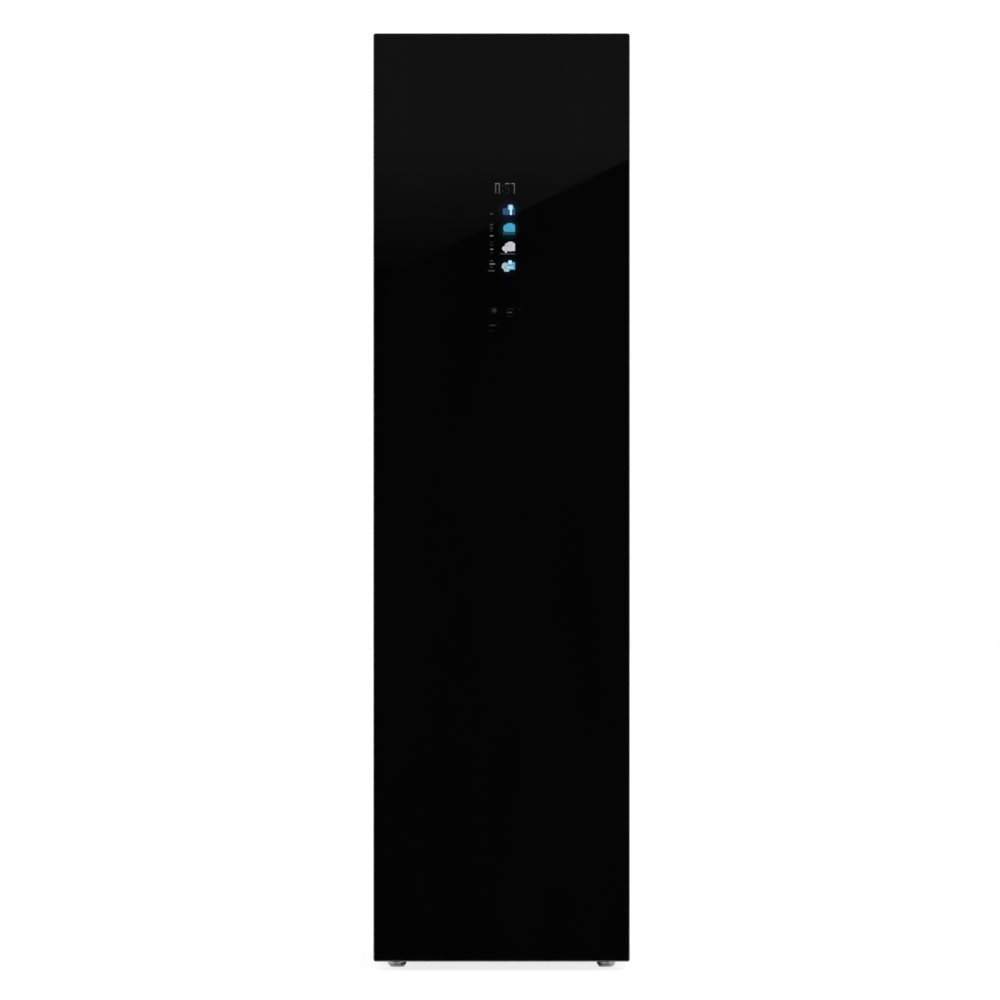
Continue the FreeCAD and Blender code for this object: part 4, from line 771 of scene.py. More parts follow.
@dataclass(frozen=True)
class OpalDiffuser(Finish):
    """Opal lamp cover with the row of lamps just showing behind it."""

    pitch: float = 0.020
    glow: float = 0.35
    prism_pitch: float = 0.0016
    prism_depth: float = 0.00006
    rounding: float = 0.001

    def lay(self, recipe: Recipe) -> None:
        """Lay soft bright spots along X.

        Args:
            recipe: the material in the making.
        """
        spots = recipe.level(recipe.bars(Axis.X, self.pitch), 0.2, 1.0, 0.72, 1.0)
        prism = recipe.bars(Axis.Y, self.prism_pitch)
        light = recipe.blend(spots, tint(self.colour, 0.75), self.colour)
        recipe.shade(Base_Color=light, Roughness=recipe.level(recipe.noise(300.0), *NOISE_SPREAD, 0.3, 0.42),
                     Emission_Color=light, Emission_Strength=self.glow,
                     Normal=recipe.bump(prism, self.prism_depth, recipe.soft_edges(self.rounding)))


@dataclass(frozen=True)
class CircuitBoard(Finish):
    """Green lacquered board with copper tracks and dark parts."""

    tracks: float = 120.0
    track_width: float = 0.03
    relief: float = 0.00005

    def lay(self, recipe: Recipe) -> None:
        """Lay square tracks under lacquer.

        Args:
            recipe: the material in the making.
        """
        track = recipe.add("ShaderNodeTexBrick")
        recipe.join(recipe.place(turn=(math.pi / 2, 0, 0)), track.inputs["Vector"])
        track.inputs["Scale"].default_value = self.tracks
        track.inputs["Mortar Size"].default_value = self.track_width
        line = recipe.level(track.outputs["Fac"], 0.2, 0.8)
        patches = recipe.noise(40.0, 3.0)
        tone = recipe.blend(line, tint(self.colour, 0.8), tint(self.colour, 2.2))
        tone = self.over(recipe, tone, recipe.level(patches, 0.5, 0.55, 0.0, 0.6), 0.5)
        recipe.shade(Base_Color=tone, Roughness=recipe.level(patches, *NOISE_SPREAD, 0.28, 0.4), Coat_Weight=0.4,
                     Normal=recipe.bump(line, self.relief))


@dataclass(frozen=True)
class Glow:
    """A soft patch of light behind the glass."""

    x: float
    z: float
    reach: float
    colour: Colour


@dataclass(frozen=True)
class BlackGlass(Finish):
    """Deep black glossy glass with a trace of cleaning marks and the display's faint halo."""

    plane_y: float = -0.300
    index: float = 1.5
    waviness: float = 0.00005
    halo_fall: float = 1.6
    halos: tuple[Glow, ...] = ()

    def lay(self, recipe: Recipe) -> None:
        """Lay faint wiping marks and the halos of the lit symbols.

        Args:
            recipe: the material in the making.
        """
        wipes = recipe.noise(7.0, 5.0, (1.0, 1.0, 0.25))
        tone = self.tones(recipe, wipes, 0.85, 1.15, *NOISE_SPREAD)
        recipe.shade(Base_Color=tone, Roughness=recipe.level(wipes, 0.45, 0.75, 0.012, 0.03),
                     IOR=self.index, Normal=recipe.bump(recipe.noise(1.6, 1.0), self.waviness))
        total: object = (0.0, 0.0, 0.0)
        for halo in self.halos:
            total = self._halo(recipe, halo, total)
        if self.halos:
            recipe.shade(Emission_Color=total, Emission_Strength=1.0)

    def _halo(self, recipe: Recipe, halo: Glow, below: object) -> Socket:
        """One halo, added to what is below it.

        Args:
            recipe: the material in the making.
            halo: where it is and how far it reaches.
            below: the light so far.

        Returns:
            The light with this halo.
        """
        near = 1.0 / halo.reach
        ball = recipe.add("ShaderNodeTexGradient", gradient_type="SPHERICAL")
        offset = (-halo.x * near, -self.plane_y * near, -halo.z * near)
        recipe.join(recipe.place((near, near, near), offset), ball.inputs["Vector"])
        return recipe.blend(recipe.sum("POWER", ball.outputs["Fac"], self.halo_fall), below, halo.colour, "ADD")


@dataclass(frozen=True)
class LitMark(Finish):
    """A lit mark of the display: brightest in its middle, with the lamps' fine grid."""

    grid: float = 0.0011

    def lay(self, recipe: Recipe) -> None:
        """Lay a fine grid of dots over a slow change of brightness.

        Args:
            recipe: the material in the making.
        """
        dots = recipe.sum("MULTIPLY", recipe.bars(Axis.X, self.grid), recipe.bars(Axis.Z, self.grid))
        uneven = recipe.level(recipe.noise(140.0, 2.0), *NOISE_SPREAD, 0.86, 1.08)
        light = recipe.blend(recipe.level(dots, 0.0, 0.6, 0.25, 0.0), self.colour, tint(self.colour, 0.6))
        recipe.shade(Base_Color=(0.002, 0.002, 0.002), Roughness=0.05, Emission_Color=light,
                     Emission_Strength=uneven)


# ---------------------------------------------------------------- shapes
class Shape:
    """A mesh in the making, shaped with mesh operators in the frame's own place."""

    def __init__(self) -> None:
        """Start with nothing."""
        self.mesh = bmesh.new()

    def block(self, low: Point, high: Point, finish: int = 0) -> list[bmesh.types.BMVert]:
        """A block between two corners.

        Args:
            low: lowest corner.
            high: highest corner.
            finish: index of its finish.

        Returns:
            The block's points.
        """
        middle = (Vector(low) + Vector(high)) / 2
        size = Vector(high) - Vector(low)
        matrix = Matrix.Translation(middle) @ Matrix.Diagonal((*size, 1.0))
        made = bmesh.ops.create_cube(self.mesh, size=1.0, matrix=matrix)["verts"]
        self._colour(made, finish)
        return made

    def _colour(self, points: Iterable[bmesh.types.BMVert], finish: int) -> None:
        """Give the faces round some points a finish."""
        for face in {face for point in points for face in point.link_faces}:
            face.material_index = finish

    def bevel(self, edges: Sequence[bmesh.types.BMEdge], width: float, steps: int = 3) -> None:
        """Round some edges."""
        bmesh.ops.bevel(self.mesh, geom=list(edges), offset=width, offset_type="OFFSET", segments=steps,
                        profile=0.5, affect="EDGES", clamp_overlap=True, material=-1)

    def plate(self, low: Point, high: Point, corner: float, across: Axis, rim: float = 0.0,
              finish: int = 0, steps: int = 5) -> None:
        """A plate with rounded corners, and with a rounded rim where it has one.

        Args:
            low: lowest corner.
            high: highest corner.
            corner: radius of the corners.
            across: the direction of the plate's thickness.
            rim: radius of the edges round both faces.
            finish: index of its finish.
            steps: segments of a corner.
        """
        points = self.block(low, high, finish)
        ends = [e for e in {e for p in points for e in p.link_edges}
                if abs((e.verts[1].co - e.verts[0].co).normalized().dot(across.vector)) > 0.9]
        before = set(self.mesh.faces)
        if corner > 0:
            self.bevel(ends, corner, steps)
        if rim > 0:
            ours = {f for p in points if p.is_valid for f in p.link_faces} | (set(self.mesh.faces) - before)
            faces = [f for f in ours if f.is_valid and abs(f.normal.dot(across.vector)) > 0.9]
            self.bevel(list({e for f in faces for e in f.edges}), rim, 2)

    def disc(self, centre: Point, radius: float, depth: float, axis: Axis, finish: int = 0,
             sides: int = 32) -> list[bmesh.types.BMVert]:
        """A short round bar round a centre.

        Args:
            centre: its middle.
            radius: its radius.
            depth: its length along the axis.
            axis: the direction that it lies along.
            finish: index of its finish.
            sides: faces round it.

        Returns:
            The bar's points.
        """
        turn = Vector((0, 0, 1)).rotation_difference(axis.vector).to_matrix().to_4x4()
        made = bmesh.ops.create_cone(self.mesh, cap_ends=True, segments=sides, radius1=radius, radius2=radius,
                                     depth=depth, matrix=Matrix.Translation(centre) @ turn)["verts"]
        self._colour(made, finish)
        return made

    def lathe(self, profile: Sequence[tuple[float, float]], centre: Point, finish: int = 0,
              steps: int = 48) -> list[bmesh.types.BMVert]:
        """Turn a profile round an upright axis.

        Args:
            profile: radius and height of each point, from the bottom up.
            centre: where the axis stands.
            finish: index of its finish.
            steps: faces round it.

        Returns:
            The turned points.
        """
        before = set(self.mesh.verts)
        points = [self.mesh.verts.new(Vector(centre) + Vector((r, 0, z))) for r, z in profile]
        edges = [self.mesh.edges.new(pair) for pair in zip(points, points[1:])]
        bmesh.ops.spin(self.mesh, geom=points + edges, cent=centre, axis=(0, 0, 1), dvec=(0, 0, 0),
                       angle=2 * math.pi, steps=steps, use_merge=True, use_duplicate=False)
        made = [v for v in self.mesh.verts if v not in before]
        bmesh.ops.remove_doubles(self.mesh, verts=made, dist=1e-6)
        made = [v for v in self.mesh.verts if v not in before]
        bmesh.ops.recalc_face_normals(self.mesh, faces=list({f for v in made for f in v.link_faces}))
        self._colour(made, finish)
        return made

    def slice(self, place: Point, normal: Point) -> None:
        """Cut away what lies beyond a plane, and close the cut.

        Args:
            place: a point of the plane.
            normal: what is on this side of the plane goes.
        """
        everything = list(self.mesh.verts) + list(self.mesh.edges) + list(self.mesh.faces)
        cut = bmesh.ops.bisect_plane(self.mesh, geom=everything, dist=1e-7, plane_co=place, plane_no=normal,
                                     clear_outer=True)["geom_cut"]
        rim = [e for e in cut if isinstance(e, bmesh.types.BMEdge)]
        if rim:
            bmesh.ops.holes_fill(self.mesh, edges=rim, sides=0)

    def finish(self, name: str, body: Body | str, finishes: Sequence[Finish], slot: str | None = None,
               replaces: Sequence[str] = (), angle: float = 35.0) -> bpy.types.Object:
        """Make the shape an object of the cabinet.

        Args:
            name: the piece's name.
            body: the body that it rides on.
            finishes: its finishes, in the order of their indexes.
            slot: the record's material slot for the piece; not used.
            replaces: nodes that it stands for.
            angle: edges sharper than this stay sharp, in degrees.

        Returns:
            The new object.
        """
        data = bpy.data.meshes.new(name)
        self.mesh.normal_update()
        self.mesh.to_mesh(data)
        self.mesh.free()
        piece = bpy.data.objects.new(name, data)
        bpy.context.scene.collection.objects.link(piece)
        for each in finishes:
            data.materials.append(each.material())
        data.shade_smooth()
        data.set_sharp_from_angle(angle=math.radians(angle))
        even = piece.modifiers.new("even_normals", "WEIGHTED_NORMAL")
        even.keep_sharp = True
        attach(piece, body.value if isinstance(body, Body) else body)
        if replaces:
            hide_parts(*replaces)
        return piece


def corners(node: str) -> tuple[Vector, Vector]:
    """Lowest and highest corner of a node."""
    low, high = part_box(node)
    return Vector(low), Vector(high)


# ---------------------------------------------------------------- the finishes of this cabinet
CHARCOAL_PAINT = PaintedSteel("charcoal_paint", (0.042, 0.042, 0.046))
BLACK_PAINT = PaintedSteel("black_paint", (0.020, 0.020, 0.021), roughness=0.35, peel=0.00004)
REAR_SHEET = ZincSteel("rear_zinc_sheet", (0.42, 0.43, 0.44))
PAN_SHEET = ZincSteel("pan_zinc_sheet", (0.36, 0.37, 0.38), spangle=70.0)
ZINC_PLATE = BrushedMetal("zinc_plate", (0.56, 0.56, 0.57), roughness=0.36)
DARK_ANODISED = BrushedMetal("dark_anodised", (0.19, 0.19, 0.195), roughness=0.46, rounding=0.0014)
SATIN_ANODISED = BrushedMetal("satin_anodised", (0.74, 0.74, 0.75), roughness=0.30, grain=Axis.X)
MACHINED_STEEL = BrushedMetal("machined_steel", (0.55, 0.55, 0.56), roughness=0.25, grain=Axis.X)
FOOT_STEEL = BrushedMetal("foot_steel", (0.74, 0.74, 0.74), roughness=0.12, rounding=0.0003)
BARE_FINS = FinPack("bare_fins", (0.74, 0.75, 0.76))
COPPER = CopperTube("copper_tube", (0.80, 0.44, 0.29))
BOILER_CASTING = CastMetal("boiler_casting", (0.60, 0.60, 0.61))
MOTOR_CASTING = CastMetal("motor_casting", (0.45, 0.45, 0.46), roughness=0.42)
CABIN_WHITE = FlangedMoulding("cabin_white", (0.76, 0.76, 0.745), roughness=0.40)
DOOR_WHITE = MouldedPlastic("door_white", (0.74, 0.74, 0.725), roughness=0.42)
CEILING_WHITE = MouldedPlastic("ceiling_white", (0.72, 0.72, 0.71), roughness=0.46)
FLOOR_GREY = MouldedPlastic("floor_grey", (0.22, 0.22, 0.23), roughness=0.50, grain=0.00006, grain_scale=1100.0)
FASCIA_GREY = FlangedMoulding("fascia_grey", (0.22, 0.22, 0.23), roughness=0.50, grain=0.00006,
                              grain_scale=1100.0)
GRILLE_GREY = MouldedPlastic("grille_grey", (0.12, 0.12, 0.125), roughness=0.46, grain=0.00005)
COVER_BLACK = MouldedPlastic("cover_black", (0.035, 0.035, 0.037), roughness=0.50, grain=0.00006,
                             grain_scale=1100.0)
GRIP_BLACK = MouldedPlastic("grip_black", (0.024, 0.024, 0.026), roughness=0.48, grain=0.00006)
LID_WHITE = MouldedPlastic("lid_white", (0.72, 0.73, 0.74), roughness=0.34, grain=0.00001)
HANDLE_GREY = MouldedPlastic("handle_grey", (0.30, 0.30, 0.31), roughness=0.38)
PRESS_GREY = MouldedPlastic("press_grey", (0.62, 0.62, 0.61), roughness=0.42)
LEVER_GREY = MouldedPlastic("lever_grey", (0.26, 0.26, 0.27), roughness=0.36)
SHELF_GLOSS = MouldedPlastic("shelf_gloss", (0.66, 0.66, 0.66), roughness=0.28, grain=0.00001)
HANGER_BLACK = MouldedPlastic("hanger_black", (0.055, 0.055, 0.058), roughness=0.30, grain=0.00001, coat=0.2)
AROMA_GREY = MouldedPlastic("aroma_grey", (0.58, 0.58, 0.585), roughness=0.38)
DUCT_WHITE = MouldedPlastic("duct_white", (0.66, 0.66, 0.64), roughness=0.62, grain=0.0001, grain_scale=420.0)
CASE_GREY = MouldedPlastic("case_grey", (0.60, 0.60, 0.59), roughness=0.45)
PUMP_BLACK = MouldedPlastic("pump_black", (0.06, 0.06, 0.062), roughness=0.40)
FAN_BLACK = MouldedPlastic("fan_black", (0.07, 0.07, 0.07), roughness=0.42)
ACETAL = MouldedPlastic("acetal", (0.74, 0.74, 0.71), roughness=0.36, grain=0.00001)
PAD_PALE = MouldedPlastic("foot_pad_pale", (0.86, 0.86, 0.86), roughness=0.42, grain=0.00002)
SYMBOL_GREY = MouldedPlastic("symbol_grey", (0.16, 0.18, 0.21), roughness=0.40)
SEAL_RUBBER = Rubber("seal_rubber", (0.28, 0.28, 0.29), roughness=0.62)
MOUNT_RUBBER = Rubber("mount_rubber", (0.028, 0.028, 0.029))
STEAM_SILICONE = Rubber("steam_silicone", (0.62, 0.60, 0.56), roughness=0.55)
FOAM = RigidFoam("poured_foam", (0.78, 0.70, 0.47))
SUPPLY_CLEAR = ClearMoulding("supply_clear", (0.84, 0.93, 0.97), frost=0.10, clearness=0.92)
DRAIN_CLEAR = ClearMoulding("drain_clear", (0.70, 0.71, 0.73), frost=0.14, clearness=0.86)
TANK_WATER = Water("tank_water", (0.90, 0.97, 1.0))
SCREEN = FilterScreen("filter_screen", (0.17, 0.17, 0.175))
PRESS_FELT = Felt("press_felt", (0.30, 0.31, 0.33))
LAMP_OPAL = OpalDiffuser("lamp_opal", (0.93, 0.93, 0.90))
BOARD_GREEN = CircuitBoard("board_green", (0.02, 0.09, 0.04))


# ---------------------------------------------------------------- sub-assemblies
@dataclass
class SubAssembly:
    """What every sub-assembly does: build its new pieces and dress its nodes."""

    title: str = "sub-assembly"

    def build(self) -> list[bpy.types.Object]:
        """Build the pieces that the frame doesn't have."""
        return []

    def coats(self) -> dict[str, Finish]:
        """The finish of each node."""
        return {}

    def make(self) -> None:
        """Build the pieces, dress the nodes and report both."""
        for piece in self.build():
            LOG.info("%s: piece %s, %d faces", self.title, piece.name, len(piece.data.polygons))
        for node, finish in self.coats().items():
            for slot in frame["nodes"][node].material_slots:
                slot.material = finish.material()
            LOG.info("%s: node %s in %s", self.title, node, finish.name)


@dataclass
class CabinetShell(SubAssembly):
    """Outer sheets, foam, base pan and hinges."""

    title: str = "cabinet shell"

    def coats(self) -> dict[str, Finish]:
        """Paint outside, zinc where nobody looks."""
        return {
            "side_panel_left": CHARCOAL_PAINT, "side_panel_right": CHARCOAL_PAINT,
            "top_panel": CHARCOAL_PAINT, "rear_panel": REAR_SHEET, "base_pan": PAN_SHEET, "insulation": FOAM,
            "cabinet_screws": ZINC_PLATE, "hinge_bracket_top": ZINC_PLATE, "hinge_bracket_bottom": ZINC_PLATE,
            "hinge_cover_top": COVER_BLACK, "foot_sockets": ZINC_PLATE, "cord_gland": MOUNT_RUBBER,
        }


@dataclass
class Cabin(SubAssembly):
    """The space for clothes: liner, floor, grille, filter, shelf and lamp."""

    title: str = "cabin"
    nozzle_x: float = -0.100
    nozzle_y: float = 0.005
    nozzle_base: float = 0.401
    nozzle_radius: float = 0.0165
    hole_ring: float = 9.5 * MM
    hole_radius: float = 1.3 * MM
    hole_height: float = 3.2 * MM
    holes: int = 8

    def build(self) -> list[bpy.types.Object]:
        """Build the steam nozzle's metal cap."""
        return [self.nozzle_cap()]

    def nozzle_cap(self) -> bpy.types.Object:
        """A turned cap with a ring of steam holes.

        Returns:
            The cap.
        """
        shape = Shape()
        radius = self.nozzle_radius
        profile = [(0.0, 0.0), (radius, 0.0), (radius, 1.4 * MM), (radius - 1.2 * MM, 2.6 * MM),
                   (radius - 6 * MM, 3.4 * MM), (4.0 * MM, 3.8 * MM), (3.4 * MM, 3.0 * MM), (0.0, 3.0 * MM)]
        shape.lathe(profile, (self.nozzle_x, self.nozzle_y, self.nozzle_base), steps=40)
        for index in range(self.holes):
            angle = 2 * math.pi * index / self.holes
            x = self.nozzle_x + self.hole_ring * math.cos(angle)
            y = self.nozzle_y + self.hole_ring * math.sin(angle)
            shape.disc((x, y, self.nozzle_base + self.hole_height), self.hole_radius, 0.9 * MM, Axis.Z,
                       finish=1, sides=12)
        return shape.finish("steam_nozzle_cap", Body.CABINET, [MACHINED_STEEL, MOUNT_RUBBER], "cabin_floor")

    def coats(self) -> dict[str, Finish]:
        """White walls over a grey floor."""
        return {
            "cabin_liner": CABIN_WHITE, "ceiling_cover": CEILING_WHITE, "cabin_lamp": LAMP_OPAL,
            "cabin_floor": FLOOR_GREY, "lower_fascia": FASCIA_GREY, "air_grille": GRILLE_GREY,
            "lint_filter": SCREEN, "aroma_cartridge": AROMA_GREY, "shelf": SHELF_GLOSS,
        }


@dataclass
class WaterTanks(SubAssembly):
    """The supply tank with its water, the drain tank, and the drops on their lids."""

    title: str = "water tanks"
    wall: float = 2.5 * MM
    corner: float = 11.0 * MM
    water_gap: float = 0.1 * MM
    water_share: float = 0.62
    lid_recess: float = 4.0 * MM
    drop_radius: float = 5.0 * MM
    drop_height: float = 0.8 * MM
    drop_offset: float = 74.0 * MM
    drop_narrowing: float = 0.45
    drop_stretch: float = 0.9
    outline_width: float = 1.2 * MM
    outline_depth: float = 0.35 * MM

    def build(self) -> list[bpy.types.Object]:
        """Build the water and both lids' drops."""
        return [self.water(), self.drop(Side.LEFT), self.drop(Side.RIGHT)]

    def water(self) -> bpy.types.Object:
        """The water in the supply tank.

        Returns:
            The water.
        """
        low, high = corners("supply_tank")
        inset = self.wall + self.water_gap
        top = low.z + (high.z - low.z) * self.water_share
        shape = Shape()
        shape.plate((low.x + inset, low.y + inset, low.z + inset), (high.x - inset, high.y - inset, top),
                    self.corner, Axis.Z)
        return shape.finish("supply_water", Body.SUPPLY_TANK, [TANK_WATER], "supply_tank")

    def drop(self, side: Side) -> bpy.types.Object:
        """A raised drop on one lid, next to its recess.

        Args:
            side: which tank.

        Returns:
            The drop.
        """
        supply = side is Side.LEFT
        node = "supply_tank_lid" if supply else "drain_tank_lid"
        low, high = corners(node)
        lid_top = high.z - self.lid_recess
        middle = Vector(((low.x + high.x) / 2 - side.value * self.drop_offset, (low.y + high.y) / 2, lid_top))
        shape = Shape()
        points = shape.disc(middle, self.drop_radius, self.drop_height, Axis.Z)
        for point in points:
            away = point.co.y - middle.y
            lift = max(0.0, away / self.drop_radius)
            point.co.x = middle.x + (point.co.x - middle.x) * (1.0 - self.drop_narrowing * lift)
            point.co.y = middle.y + away * (1.0 + self.drop_stretch * lift)
        if not supply:
            inner = [f for f in shape.mesh.faces if f.normal.z > 0.9]
            bmesh.ops.inset_region(shape.mesh, faces=inner, thickness=self.outline_width,
                                   depth=-self.outline_depth)
        body = Body.SUPPLY_TANK if supply else Body.DRAIN_TANK
        return shape.finish("supply_drop" if supply else "drain_drop", body, [SYMBOL_GREY], "tank_lid")

    def coats(self) -> dict[str, Finish]:
        """Clear tanks under white lids."""
        return {
            "supply_tank": SUPPLY_CLEAR, "drain_tank": DRAIN_CLEAR, "supply_tank_lid": LID_WHITE,
            "drain_tank_lid": LID_WHITE, "supply_tank_handle": HANDLE_GREY, "drain_tank_handle": HANDLE_GREY,
        }


@dataclass
class HangerDrive(SubAssembly):
    """The moving rail with its hangers, bearings, crank and motor."""

    title: str = "hanger drive"

    def coats(self) -> dict[str, Finish]:
        """Anodised rail, black hangers."""
        return {
            "hanger_rail": SATIN_ANODISED, "rail_bearings": ACETAL, "crank": MACHINED_STEEL,
            "shaker_motor": MOTOR_CASTING, "hanger_left": HANGER_BLACK, "hanger_middle": HANGER_BLACK,
            "hanger_right": HANGER_BLACK,
        }


@dataclass
class Machinery(SubAssembly):
    """What dries the air and makes the steam."""

    title: str = "machinery"

    def coats(self) -> dict[str, Finish]:
        """Bare metal, black paint and rubber."""
        return {
            "air_duct": DUCT_WHITE, "evaporator": BARE_FINS, "condenser": BARE_FINS,
            "refrigerant_pipes": COPPER, "fan_wheel": FAN_BLACK, "fan_motor": MOTOR_CASTING,
            "compressor": BLACK_PAINT, "compressor_grommets": MOUNT_RUBBER, "steam_generator": BOILER_CASTING,
            "steam_hose": STEAM_SILICONE, "feed_pump": PUMP_BLACK, "control_case": CASE_GREY,
        }


@dataclass
class Feet(SubAssembly):
    """Four levelling feet: a pad, a polished ring with spanner notches and a threaded stud."""

    title: str = "feet"
    pad_radius: float = 15.0 * MM
    pad_height: float = 4.1 * MM
    ring_radius: float = 18.5 * MM
    ring_top: float = 11.5 * MM
    notches: int = 4
    notch_depth: float = 1.6 * MM
    notch_half: float = 3.8 * MM
    notch_band: float = 1.0 * MM
    edge: float = 0.5 * MM
    stud_radius: float = 5.0 * MM
    stud_top: float = 60.0 * MM
    thread_pitch: float = 2.0 * MM
    thread_depth: float = 0.8 * MM
    point_depth: float = 1.4 * MM
    point_height: float = 0.6 * MM

    def build(self) -> list[bpy.types.Object]:
        """Build the four feet.

        Returns:
            The feet.
        """
        names = ("foot_front_left", "foot_front_right", "foot_rear_left", "foot_rear_right")
        bodies = ("foot_fl", "foot_fr", "foot_rl", "foot_rr")
        return [self.foot(node, body) for node, body in zip(names, bodies)]

    def foot(self, node: str, body: str) -> bpy.types.Object:
        """One foot, which stands for its node.

        Args:
            node: the node that it replaces.
            body: the body that it rides on.

        Returns:
            The foot.
        """
        low, high = corners(node)
        centre = ((low.x + high.x) / 2, (low.y + high.y) / 2, 0.0)
        shape = Shape()
        pad, edge = self.pad_radius, self.edge
        ring, base, top = self.ring_radius, self.pad_height, self.ring_top
        shape.lathe([(0.0, 0.0), (pad - edge, 0.0), (pad, edge), (pad, base), (0.0, base)], centre, finish=1)
        made = shape.lathe([(0.0, base), (ring - edge, base), (ring, base + edge), (ring, top - edge),
                            (ring - edge, top), (self.stud_radius, top), (0.0, top)], centre, steps=96)
        self._notch(made, Vector(centre))
        shape.lathe(self._thread(), centre, steps=20)
        return shape.finish(f"{node}_screw", body, [FOOT_STEEL, PAD_PALE], "levelling_foot", [node], 50.0)

    def _notch(self, points: Iterable[bmesh.types.BMVert], centre: Vector) -> None:
        """Press the spanner's notches into the ring's edge.

        Args:
            points: the ring's points.
            centre: the foot's axis.
        """
        step = 2 * math.pi / self.notches
        for point in points:
            away = (point.co - centre).to_2d()
            if away.length > self.ring_radius - self.notch_band:
                angle = math.atan2(away.y, away.x)
                aside = abs(angle - step * round(angle / step)) * self.ring_radius
                if aside < self.notch_half:
                    closer = away * (1.0 - self.notch_depth / away.length)
                    point.co.x, point.co.y = centre.x + closer.x, centre.y + closer.y

    def _thread(self) -> list[tuple[float, float]]:
        """Draw the stud with its thread.

        Returns:
            The profile, as radius and height of each point.
        """
        profile = [(0.0, self.ring_top)]
        root, top = self.stud_radius - self.thread_depth, self.stud_top
        turns = int((top - self.ring_top - 1.0 * MM) / self.thread_pitch)
        for turn in range(turns):
            base = self.ring_top + turn * self.thread_pitch
            profile += [(root, base), (self.stud_radius, base + self.thread_pitch / 2)]
        return profile + [(root, top - self.point_height), (self.stud_radius - self.point_depth, top), (0.0, top)]


@dataclass(frozen=True)
class Plate:
    """A lit plate of the display, in millimetres: its edges, its corners' radius, its finish and layer."""

    left: float
    right: float
    bottom: float
    top: float
    corner: float = 0.4
    finish: int = 0
    layer: int = 0


@dataclass(frozen=True)
class Spot:
    """A lit disc of the display, in millimetres: its middle, its radius, its finish and layer."""

    x: float
    z: float
    radius: float
    finish: int = 0
    layer: int = 0


def bar(x: float, z: float, length: float, thickness: float) -> Plate:
    """A short lit bar from its left end, height, length and thickness, in millimetres."""
    return Plate(x, x + length, z - thickness / 2, z + thickness / 2)


# Each symbol's finish numbers follow the list of lights that Display.build gives it.
SHIRT = (Plate(2.6, 15.0, 1491.6, 1504.8, 2.5, 1), Plate(14.6, 29.0, 1491.6, 1505.4, 2.5, 1),
         Plate(12.6, 22.8, 1501.4, 1511.8, 3.4, 2, 1), Plate(16.4, 20.4, 1491.6, 1510.2, 0.8, 0, 2))
DRUM = (Plate(3.6, 30.0, 1458.4, 1472.4, 5.0, 0, 1), Plate(8.8, 24.0, 1462.0, 1475.4, 4.5, 0, 1),
        Plate(2.8, 30.0, 1452.6, 1459.4, 1.2, 1))
CLOUD = (Spot(17.4, 1429.4, 9.7), Plate(6.4, 30.0, 1423.4, 1435.4, 3.4), Spot(5.4, 1425.4, 4.4),
         Plate(3.0, 30.0, 1420.4, 1427.0, 2.2), Plate(6.6, 10.8, 1416.8, 1422.0, 1.0),
         Plate(-2.6, 30.0, 1413.4, 1416.2, 0.6, 1))
STEAM = (Spot(7.2, 1391.0, 6.6), Spot(3.8, 1388.2, 3.4), Plate(4.4, 15.8, 1379.6, 1391.0, 3.2),
         Plate(10.8, 30.0, 1383.6, 1398.4, 3.0, 1, 1), Plate(13.2, 20.4, 1394.6, 1402.0, 2.2, 2, 2),
         Plate(10.4, 23.0, 1386.6, 1389.4, 1.2, 2, 2), Spot(8.3, 1388.0, 1.1, 3, 3))
CLEAR_ROWS = (bar(-22.9, 1450.4, 6.4, 2.4), bar(-22.4, 1423.9, 5.8, 2.4), bar(-23.4, 1394.8, 10.4, 2.4))
FAIR_ROWS = (bar(-22.9, 1493.8, 6.2, 3.0), bar(-22.9, 1472.6, 6.2, 2.2), bar(-22.9, 1465.0, 6.0, 2.2),
             bar(-22.9, 1401.2, 6.0, 2.4), bar(-26.2, 1381.4, 12.6, 3.0), bar(10.6, 1299.3, 10.6, 2.2))
DIM_ROWS = (bar(-22.9, 1468.8, 6.0, 1.8), bar(-22.9, 1460.2, 6.0, 2.0), bar(-22.9, 1438.0, 6.0, 2.0),
            bar(-22.9, 1432.0, 6.4, 2.2), bar(-22.9, 1388.6, 6.0, 2.6), bar(-24.4, 1273.6, 14.0, 2.8))
FAINT_ROWS = (bar(-22.9, 1416.6, 6.6, 3.4), bar(10.6, 1306.2, 14.0, 2.4), bar(10.8, 1291.6, 11.0, 1.6),
              bar(34.2, 1305.0, 2.2, 4.4), bar(-24.0, 1262.8, 8.0, 2.0))


